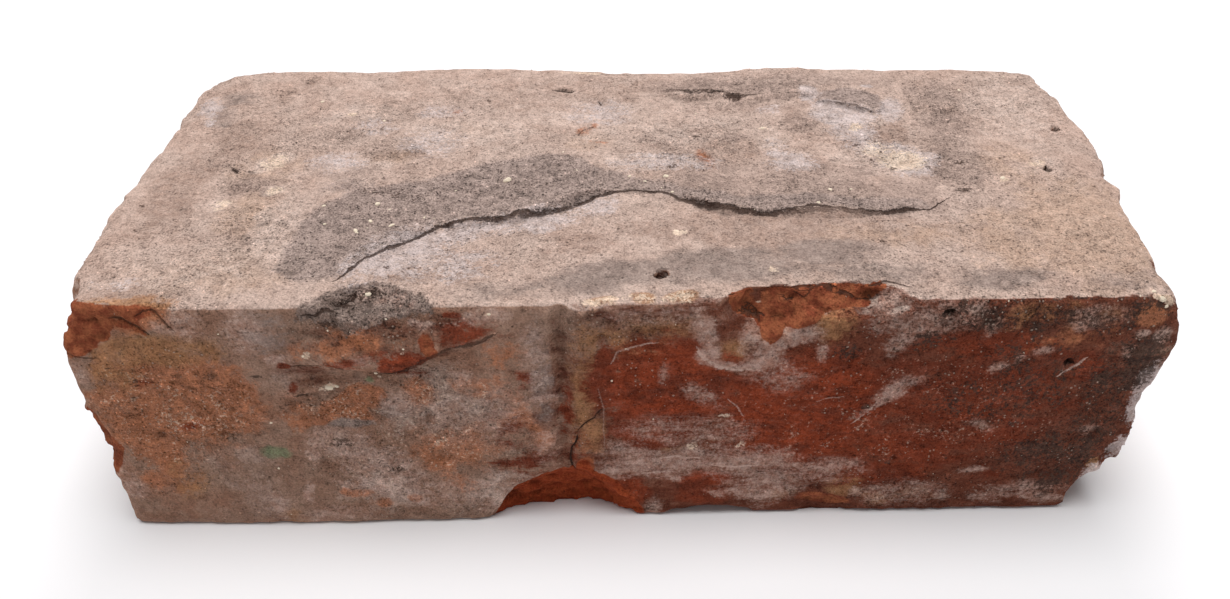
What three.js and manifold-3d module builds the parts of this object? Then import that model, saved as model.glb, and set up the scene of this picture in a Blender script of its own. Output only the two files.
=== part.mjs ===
/*
 * An old handmade clay brick, lying on its bed face.
 *
 * Millimetres, +Z up. The front stretcher face looks towards -Y, the headers towards -X and +X.
 * The origin is the middle of the brick's bounding box, at the level of the bed.
 *
 * The brick is one fired piece. A leaning, worn block is moulded first, then a skin of mortar
 * and clay is laid on its top, then the breaks and pores are taken out of it.
 */
import * as THREE from 'three';
import { mergeVertices } from 'three/addons/utils/BufferGeometryUtils.js';
import { ImprovedNoise } from 'three/addons/math/ImprovedNoise.js';
import Module from 'manifold-3d';

// Driving dimensions.
const length = 229;
const width = 108;
const height = 64;
const arrisRadius = 1.3;

// The block's departures from a true box.
const leftLean = 2.4;        // how far the left header has gone in by the back
const leftSwell = 1.7;       // how far it stands out behind its front arris
const rightSwell = 5.2;      // how far the right header swells out towards the back
const swellStart = 20;       // distances from the front between which it does so
const swellEnd = 75;
const rightShoulder = 1.8;   // a lump on the right header, behind its middle
const frontShoulder = 1.6;   // another at its front, high up
const headerBulge = 1.2;
const headerRoughness = 1.1;
const backCornerRadius = 14; // the slumped back left corner, in plan
const backFullness = 3.8;    // extra width behind the left half
const backLump = 2.9;        // a lump on the back's top edge, under the thinner skin
const backTaper = 1.6;       // width lost towards the right
const frontBow = 0.4;
const footSwell = 1.4;       // how far the left foot of the front face stands out
const topUndulation = 0.5;

// Wear: how far each kind of arris is rubbed down, and how far the rubbing reaches.
const wearReach = 5.5;
const headerTopWear = 0.7;
const frontTopWear = 0.25;
const uprightWear = 0.4;
const bedWear = 0.35;

// The mortar skin on the top: a raised crust with a crisp front wall that thins out backwards.
const crustRise = 1.7;
const crustDepth = 30;
const ridgeRise = 1.2;
const ridgeDepth = 12;
const patchRise = 0.7;
const patchDepth = 11;
const skinFoot = 4;          // how deep the skin is rooted in the block

// The upright crease in the front face, and the fold of clay beside it.
const creaseFromMiddle = -12.2;
const creaseWidth = 3.8;
const creaseDepth = 1.1;
const creaseFoot = 17;       // height at which the crease runs into the break below it
const foldRidgeWidth = 6.6;
const foldRidgeRise = 0.7;

// The break out of the bottom front edge.
const notchFromMiddle = -12;
const notchLength = 33;
const notchHeight = 15.5;
const notchDepth = 4.4;

// Mesh fineness.
const pitch = 7.4;           // of the block's grid, between the worn arrises
const stripRows = 6;         // across the crease and the ridge beside it
const stripStations = 9;     // up them

const clay = new THREE.MeshStandardMaterial({ color: 0x8a6a5c, roughness: 0.95, metalness: 0 });

const frontFace = -width / 2;
const backFace = width / 2;
const leftEnd = -length / 2;
const rightEnd = length / 2;

const wasm = await Module();
wasm.setup();

const noise = new ImprovedNoise();

/* Smooth waves between about -1 and 1, as long as `wave` along every axis. */
function waves(x, y, z, wave, seed) {
  return 1.4 * noise.noise(x / wave + seed, y / wave + 0.37 * seed, z / wave + 0.71 * seed);
}

function ramp(from, to, value) {
  return THREE.MathUtils.smoothstep(value, from, to);
}

/* 1 at an edge, fading to 0 at the reach of the wear. */
function nearness(distance) {
  return 1 - ramp(0, wearReach, distance);
}

/* A rounded hill, 1 at its middle and 0 from `half` away on. */
function hill(distance, half) {
  return 1 - ramp(0, half, Math.abs(distance));
}

/* How far the top stands above or below its nominal height. */
function topWave(x, y) {
  return topUndulation * (waves(x, y, 0, 48, 1.3) + 0.5 * waves(x, y, 0, 19, 6.1));
}

/* The front face, as a distance from the middle plane of the brick. */
function frontAt(x, z) {
  const foot = (1 - ramp(0, 34, z)) * (1 - ramp(-45, 20, x));
  return frontFace - footSwell * foot + frontBow * waves(x, 0, z, 55, 4.2);
}

/* How far the back face stands out from its nominal plane. */
function backOffset(x, z) {
  const full = backFullness * (1 - ramp(-40, 22, x));
  const lump = backLump * ramp(29, 37, x) * (1 - ramp(42, 60, x)) * ramp(0.4, 1, z / height);
  const taper = backTaper * ramp(0.45, 1, x / rightEnd);
  return full + lump - taper + 0.7 * waves(x, 0, z, 26, 5.5);
}

/* Places along one side of the box: close together at the arrises, `pitch` apart between. */
function gridLines(size) {
  const arris = [0, arrisRadius, wearReach];
  const span = size - 2 * wearReach;
  const cells = Math.round(span / pitch);
  const lines = [...arris];
  for (let i = 1; i < cells; i += 1) {
    lines.push(wearReach + (span * i) / cells);
  }
  for (const step of [...arris].reverse()) {
    lines.push(size - step);
  }
  return lines;
}

/* Rounds the arrises of the box that `point` lies on. */
function roundArrises(point) {
  const inner = new THREE.Vector3(
    THREE.MathUtils.clamp(point.x, leftEnd + arrisRadius, rightEnd - arrisRadius),
    THREE.MathUtils.clamp(point.y, frontFace + arrisRadius, backFace - arrisRadius),
    THREE.MathUtils.clamp(point.z, arrisRadius, height - arrisRadius),
  );
  const out = point.clone().sub(inner).normalize().multiplyScalar(arrisRadius);
  point.copy(inner).add(out);
}

/* Draws the back left upright corner in to a quarter round. */
function slumpBackCorner(point) {
  const a = (leftEnd + backCornerRadius - point.x) / backCornerRadius;
  const b = (point.y - backFace + backCornerRadius) / backCornerRadius;
  if (a > 0 && b > 0) {
    const shrink = Math.max(a, b) / Math.hypot(a, b);
    point.x = leftEnd + backCornerRadius - a * shrink * backCornerRadius;
    point.y = backFace - backCornerRadius + b * shrink * backCornerRadius;
  }
}

/* Rubs the arrises down, unevenly. Points on the bed stay on it. */
function wearArrises(point) {
  const { x, y, z } = point;
  const header = nearness(length / 2 - Math.abs(x));
  const stretcher = nearness(width / 2 - Math.abs(y));
  const top = nearness(height - z);
  const bed = nearness(z);
  const uneven = Math.max(0, 1 + waves(x, y, z, 12, 9.4));
  const overHeader = headerTopWear * header * top * uneven;
  const overFront = frontTopWear * stretcher * top * uneven;
  const upright = uprightWear * header * stretcher * uneven;
  const under = bedWear * bed * uneven;
  point.x -= Math.sign(x) * (overHeader + upright + under * header);
  point.y -= Math.sign(y) * (overFront + upright + under * stretcher);
  point.z -= overHeader + overFront;
}

/* Leans and swells the headers, and waves the faces. */
function handMould(point) {
  const { x, y, z } = point;
  const back = (y - frontFace) / width;
  const right = (x - leftEnd) / length;
  const fromFront = y - frontFace;
  const nearLeft = 1 - ramp(0, 18, x - leftEnd);
  const nearRight = 1 - ramp(0, 18, rightEnd - x);
  const belly = headerBulge * (1 - (2 * z / height - 1) ** 4);

  point.x += leftLean * back * back * (1 - right);
  point.x -= nearLeft * (belly + leftSwell * ramp(5, 24, fromFront));
  point.x -= nearLeft * headerRoughness * 0.7 * waves(0, y, z, 17, 2.6);
  point.x += rightSwell * ramp(swellStart, swellEnd, fromFront) * right;
  point.x += nearRight * (belly + rightShoulder * hill(fromFront - 66, 20));
  point.x += nearRight * frontShoulder * hill(z - 52, 20) * (1 - ramp(14, 44, fromFront));
  point.x += nearRight * headerRoughness * (waves(0, y, z, 21, 7.7) + 0.6 * waves(0, y, z, 10, 3.1));
  point.y += (frontAt(x, z) - frontFace) * (1 - back);
  point.y += backOffset(x, z) * back;
  point.z += (z / height) * topWave(point.x, point.y);
}

function makeBlock() {
  const xs = gridLines(length);
  const ys = gridLines(width);
  const zs = gridLines(height);
  const geometry = new THREE.BoxGeometry(1, 1, 1, xs.length - 1, ys.length - 1, zs.length - 1);
  const place = geometry.attributes.position;
  const point = new THREE.Vector3();
  const pick = (lines, share) => lines[Math.round((share + 0.5) * (lines.length - 1))];
  for (let i = 0; i < place.count; i += 1) {
    point.set(
      leftEnd + pick(xs, place.getX(i)),
      frontFace + pick(ys, place.getY(i)),
      pick(zs, place.getZ(i)),
    );
    roundArrises(point);
    wearArrises(point);
    slumpBackCorner(point);
    handMould(point);
    place.setXYZ(i, point.x, point.y, point.z);
  }
  return geometry;
}

/* A closed slab over a grid: `place(u, v)` gives x, y, the upper height and the foot height. */
function makeSlab(stations, rows, place) {
  const upper = [];
  const lower = [];
  const across = rows + 1;
  for (let i = 0; i <= stations; i += 1) {
    for (let j = 0; j <= rows; j += 1) {
      const { x, y, top, foot } = place(i / stations, j / rows);
      upper.push(x, y, top);
      lower.push(x, y, foot);
    }
  }
  const count = (stations + 1) * across;
  const faces = [];
  const quad = (a, b, c, d) => faces.push(a, b, c, a, c, d);
  for (let i = 0; i < stations; i += 1) {
    for (let j = 0; j < rows; j += 1) {
      const a = i * across + j;
      const b = a + across;
      quad(a, b, b + 1, a + 1);
      quad(count + a, count + a + 1, count + b + 1, count + b);
    }
  }
  for (let i = 0; i < stations; i += 1) {
    const front = i * across;
    const rear = front + rows;
    quad(front, count + front, count + front + across, front + across);
    quad(rear, rear + across, count + rear + across, count + rear);
  }
  for (let j = 0; j < rows; j += 1) {
    const last = stations * across + j;
    quad(j, j + 1, count + j + 1, count + j);
    quad(last, count + last, count + last + 1, last + 1);
  }
  const geometry = new THREE.BufferGeometry();
  geometry.setAttribute('position', new THREE.Float32BufferAttribute([...upper, ...lower], 3));
  geometry.setIndex(faces);
  return geometry;
}

/*
 * A skin of mortar on the top. Its front wall stands on the curve through `wall`, whose points
 * are measured from the brick's middle and its front face. `riseAt(u)` is the wall's height from
 * its left end, u = 0, to its right end, u = 1. The skin thins out backwards over `depth`, and
 * `swing` turns that direction towards the left at the left end.
 */
function makeSkin({ wall, riseAt, depth, swing, stations, rows, seed }) {
  const points = wall.map(([x, fromFront]) => new THREE.Vector3(x, frontFace + fromFront, 0));
  const curve = new THREE.CatmullRomCurve3(points, false, 'centripetal');
  return makeSlab(stations, rows, (u, v) => {
    const foot = curve.getPointAt(u);
    const turn = Math.PI / 2 + swing * (1 - ramp(0, 0.55, u));
    const ends = ramp(0, 0.08, u) * (1 - ramp(0.86, 1, u));
    const reach = depth * (0.45 + 0.55 * ends) * (1 + 0.25 * waves(foot.x, 0, 0, 21, seed));
    const ragged = 0.6 * waves(foot.x, foot.y, 0, 4.5, seed + 2);
    const x = foot.x + Math.cos(turn) * reach * v;
    const y = foot.y + Math.sin(turn) * reach * v + ragged * (1 - v);
    const thickness = riseAt(u) * (0.15 + 0.85 * ends) * (1 - v ** 1.4) - 0.35 * v;
    const ground = height + topWave(x, y);
    return { x, y, top: ground + thickness, foot: height - skinFoot };
  });
}

/* A lumpy shell-shaped body, for a break or a swelling. */
function makeLump({ at, half, turn = [0, 0, 0], rough = 0.16, fine = 3, seed }) {
  const geometry = new THREE.IcosahedronGeometry(1, fine);
  const place = geometry.attributes.position;
  const point = new THREE.Vector3();
  for (let i = 0; i < place.count; i += 1) {
    point.fromBufferAttribute(place, i);
    const broad = waves(point.x, point.y, point.z, 0.75, seed);
    const crests = Math.abs(waves(point.x, point.y, point.z, 0.42, seed + 3));
    point.multiplyScalar(1 + rough * (broad + 0.35 - crests));
    place.setXYZ(i, point.x * half[0], point.y * half[1], point.z * half[2]);
  }
  const pose = new THREE.Matrix4().makeRotationFromEuler(new THREE.Euler(...turn));
  pose.setPosition(...at);
  return geometry.applyMatrix4(pose);
}

/*
 * An upright strip on the front face, `stripWidth` wide. `section(share, up)` gives how far its
 * outer and inner surfaces stand out from the face: `share` runs from 0 at the strip's left edge
 * to 1 at its right, and `up` from 0 at its foot to 1 at its top.
 */
function makeStrip({ fromMiddle, foot, top, stripWidth, bend, seed, section }) {
  const geometry = makeSlab(stripRows, stripStations, (u, v) => {
    const z = foot + (top - foot) * v;
    const x = fromMiddle + stripWidth * (u - 0.5) + bend * waves(0, 0, z, 17, seed);
    const [outer, inner] = section(u, v);
    const face = -frontAt(x, z);
    return { x, y: z, top: face + outer, foot: face + inner };
  });
  return geometry.rotateX(Math.PI / 2);
}

/* The half round section of a groove or ridge, 1 at the middle and 0 at both edges. */
function dome(share) {
  return Math.sqrt(Math.max(0, 1 - (2 * share - 1) ** 2));
}

/* Turns a closed geometry into a solid that can be joined and cut. */
function toSolid(geometry) {
  const bare = geometry.clone();
  bare.deleteAttribute('normal');
  bare.deleteAttribute('uv');
  const merged = mergeVertices(bare, 1e-4);
  return new wasm.Manifold(new wasm.Mesh({
    numProp: 3,
    vertProperties: new Float32Array(merged.attributes.position.array),
    triVerts: new Uint32Array(merged.index.array),
  }));
}

function toGeometry(solid) {
  const mesh = solid.getMesh();
  const geometry = new THREE.BufferGeometry();
  geometry.setAttribute('position', new THREE.BufferAttribute(mesh.vertProperties, 3));
  geometry.setIndex(new THREE.BufferAttribute(mesh.triVerts, 1));
  return geometry;
}

/* The crust that crosses the top: its wall climbs from the front edge, then runs to the right. */
const crust = makeSkin({
  wall: [
    [-63, 6], [-54, 14], [-42, 28], [-22, 32], [-6, 41], [3, 42],
    [14, 40], [22, 35], [36, 32], [62, 32.5], [82, 40],
  ],
  riseAt: (u) => crustRise * (0.3 + 0.7 * ramp(0.08, 0.42, u)) * (1 - 0.25 * ramp(0.55, 0.75, u)),
  depth: crustDepth,
  swing: 0.75,
  stations: 44,
  rows: 4,
  seed: 8.3,
});

/* A second, thinner skin behind it, which runs out over the back edge. */
const backRidge = makeSkin({
  wall: [
    [12, width - 15], [21, width - 17.5], [29, width - 17],
    [34, width - 20.5], [42, width - 18], [58, width - 16],
  ],
  riseAt: () => ridgeRise,
  depth: ridgeDepth,
  swing: 0.2,
  stations: 20,
  rows: 3,
  seed: 3.9,
});

/* A scrap of the same skin, left standing on the right of the top. */
const patch = makeSkin({
  wall: [
    [54, width - 21.5], [60, width - 23.5], [65, width - 25],
    [68.5, width - 28], [72, width - 24],
  ],
  riseAt: () => patchRise,
  depth: patchDepth,
  swing: 0.3,
  stations: 12,
  rows: 2,
  seed: 2.1,
});

/* A lobe of clay folded over the front face, below the worn edge. */
const clayFold = makeLump({
  at: [-49, frontFace + 0.9, height - 10.5],
  half: [25, 2.6, 6],
  turn: [0, -0.17, 0],
  rough: 0.1,
  seed: 5.2,
});

const foldRidge = makeStrip({
  fromMiddle: creaseFromMiddle + (creaseWidth + foldRidgeWidth) / 2,
  foot: creaseFoot + 4,
  top: height - arrisRadius,
  stripWidth: foldRidgeWidth,
  bend: 0.8,
  seed: 6.6,
  section: (share, up) => [foldRidgeRise * dome(share) * ramp(0, 0.3, up) - 0.1, -2],
});

const crease = makeStrip({
  fromMiddle: creaseFromMiddle,
  foot: creaseFoot - 3,
  top: height + 2,
  stripWidth: creaseWidth,
  bend: 0.8,
  seed: 6.6,
  section: (share) => [2, -creaseDepth * dome(share) + 0.1],
});

const breaks = [
  // The notch under the crease, through the bottom front edge.
  makeLump({
    at: [notchFromMiddle, frontFace - 1.5, -2],
    half: [notchLength / 2 + 1.5, notchDepth + 2.2, notchHeight + 3],
    rough: 0.12,
    seed: 2.2,
    fine: 5,
  }),
  // The top front corner at the left.
  makeLump({
    at: [leftEnd - 1, frontFace + 3, height + 4],
    half: [6.5, 13, 12],
    turn: [0, 0.2, 0],
    seed: 3.3,
  }),
  // The shell break that runs from that corner down the front face.
  makeLump({
    at: [leftEnd + 9, frontFace - 2.6, height - 4],
    half: [16, 4.4, 11],
    turn: [0, 0.35, 0],
    seed: 1.1,
  }),
  // The worn scallop in the top front edge, above the clay fold.
  makeLump({ at: [-50, frontFace - 0.5, height + 2.5], half: [14, 8, 6], seed: 9.1 }),
  // The chip in the top front edge, right of the crease, with a tongue down the face.
  makeLump({ at: [30, frontFace - 1.2, height - 1], half: [9.5, 5.4, 8], seed: 4.7 }),
  makeLump({ at: [46, frontFace - 1, height + 0.5], half: [15, 6, 5.2], seed: 7.4 }),
  // The top front corner at the right.
  makeLump({
    at: [rightEnd + 3.4, frontFace + 4, height + 3.4],
    half: [6.5, 15, 7.5],
    turn: [0, 0.5, 0],
    seed: 5.9,
  }),
  // The bottom front corner at the right, broken off on a slant.
  makeLump({ at: [rightEnd + 1.8, frontFace + 1, 1], half: [10.5, 14, 16], seed: 6.3 }),
  // Two bites out of the upright arris at the right.
  makeLump({ at: [rightEnd + 1.4, frontFace - 1, 34], half: [3.2, 4.6, 6], seed: 2.8, fine: 2 }),
  makeLump({ at: [rightEnd - 0.6, frontFace - 1.4, 17], half: [4.2, 4, 5.5], seed: 8.8, fine: 2 }),
  // A sliver off the upright arris at the left.
  makeLump({ at: [leftEnd - 1.2, frontFace - 1.2, 29], half: [3.6, 3.4, 11], seed: 0.7, fine: 2 }),
  // Small chips in the bottom front edge.
  makeLump({ at: [48, frontFace - 1, 1], half: [6.5, 2.6, 6], seed: 1.6, fine: 2 }),
  makeLump({ at: [21, frontFace - 1, -1.5], half: [15, 4, 4.4], seed: 4.1, fine: 2 }),
  // Wear along the edges of the back and of the headers.
  makeLump({ at: [rightEnd - 36, backFace + 3, height + 2.5], half: [22, 5, 4.6], seed: 7.1, fine: 2 }),
  makeLump({ at: [-38, backFace + 2, -1], half: [20, 6, 7], seed: 2.9, fine: 2 }),
  makeLump({
    at: [rightEnd + rightSwell + 2.5, backFace - 8, height - 2],
    half: [5, 11, 9],
    fine: 2,
    seed: 6.9,
  }),
  makeLump({ at: [rightEnd + rightSwell + 1, 18, -1], half: [6, 14, 7], seed: 3.6, fine: 2 }),
  makeLump({ at: [leftEnd + 1, 12, -1.5], half: [5, 17, 6], seed: 5.4, fine: 2 }),
];

// Open pores, and a slit left by a stalk that burned away.
const pores = [
  makeLump({ at: [9, frontFace + 10, height + 0.3], half: [1.3, 1.5, 2.2], fine: 1, seed: 1.5 }),
  makeLump({ at: [rightEnd - 11, -4, height + 0.3], half: [1.5, 1.1, 2], fine: 1, seed: 2.5 }),
  makeLump({ at: [rightEnd - 2, 17, height + 0.4], half: [1.3, 1.3, 2], fine: 1, seed: 3.5 }),
  makeLump({ at: [rightEnd - 19, frontFace - 0.2, height - 18], half: [0.9, 2, 0.9], fine: 1, seed: 4.5 }),
  makeLump({ at: [-13, backFace - 11.5, height + 0.4], half: [2.5, 0.5, 1.1], fine: 1, seed: 5.5 }),
];

function makeBrick() {
  const added = [crust, backRidge, patch, clayFold, foldRidge].map(toSolid);
  const removed = [crease, ...breaks, ...pores].map(toSolid);
  let solid = toSolid(makeBlock());
  for (const piece of added) {
    solid = solid.add(piece);
  }
  for (const piece of removed) {
    solid = solid.subtract(piece);
  }
  const geometry = toGeometry(solid);
  geometry.computeBoundingBox();
  const middle = geometry.boundingBox.getCenter(new THREE.Vector3());
  return geometry.translate(-middle.x, -middle.y, 0);
}

const brick = new THREE.Mesh(makeBrick(), clay);
brick.name = 'brick';

const group = new THREE.Group();
group.add(brick);

export default group;
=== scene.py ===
import itertools
import math

import bmesh
import bpy
import numpy as np
from bpy.props import FloatProperty, FloatVectorProperty, IntProperty, PointerProperty
from mathutils import Matrix, Vector
from mathutils.bvhtree import BVHTree


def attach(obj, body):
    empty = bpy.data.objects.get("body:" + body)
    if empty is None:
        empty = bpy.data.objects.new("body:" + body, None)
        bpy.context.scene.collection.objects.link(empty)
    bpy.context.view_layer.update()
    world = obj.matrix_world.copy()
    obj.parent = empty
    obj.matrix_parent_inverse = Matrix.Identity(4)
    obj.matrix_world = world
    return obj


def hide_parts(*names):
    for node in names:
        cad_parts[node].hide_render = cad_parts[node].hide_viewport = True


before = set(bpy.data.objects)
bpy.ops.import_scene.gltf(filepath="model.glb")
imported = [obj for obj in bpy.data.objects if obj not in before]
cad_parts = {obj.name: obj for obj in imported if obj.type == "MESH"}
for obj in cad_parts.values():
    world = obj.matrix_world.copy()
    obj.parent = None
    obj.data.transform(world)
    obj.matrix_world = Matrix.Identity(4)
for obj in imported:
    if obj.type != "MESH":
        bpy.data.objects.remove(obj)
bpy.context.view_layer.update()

bl_info = {
    "name": "Old Clay Brick",
    "version": (1, 0, 0),
    "blender": (4, 5, 0),
    "location": "3D View > Sidebar > Brick",
    "description": (
        "Finishes a worn handmade brick: its surface, its sand and lime, and a plain stage"
    ),
    "category": "Object",
}

MM = 0.001

# The brick's own measures, in millimetres, are x from the middle of the front edge, depth from the
# front face, and z from the bed. The frame's own origin lies here in them.
START = (2.24, 55.23, 0)

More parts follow.
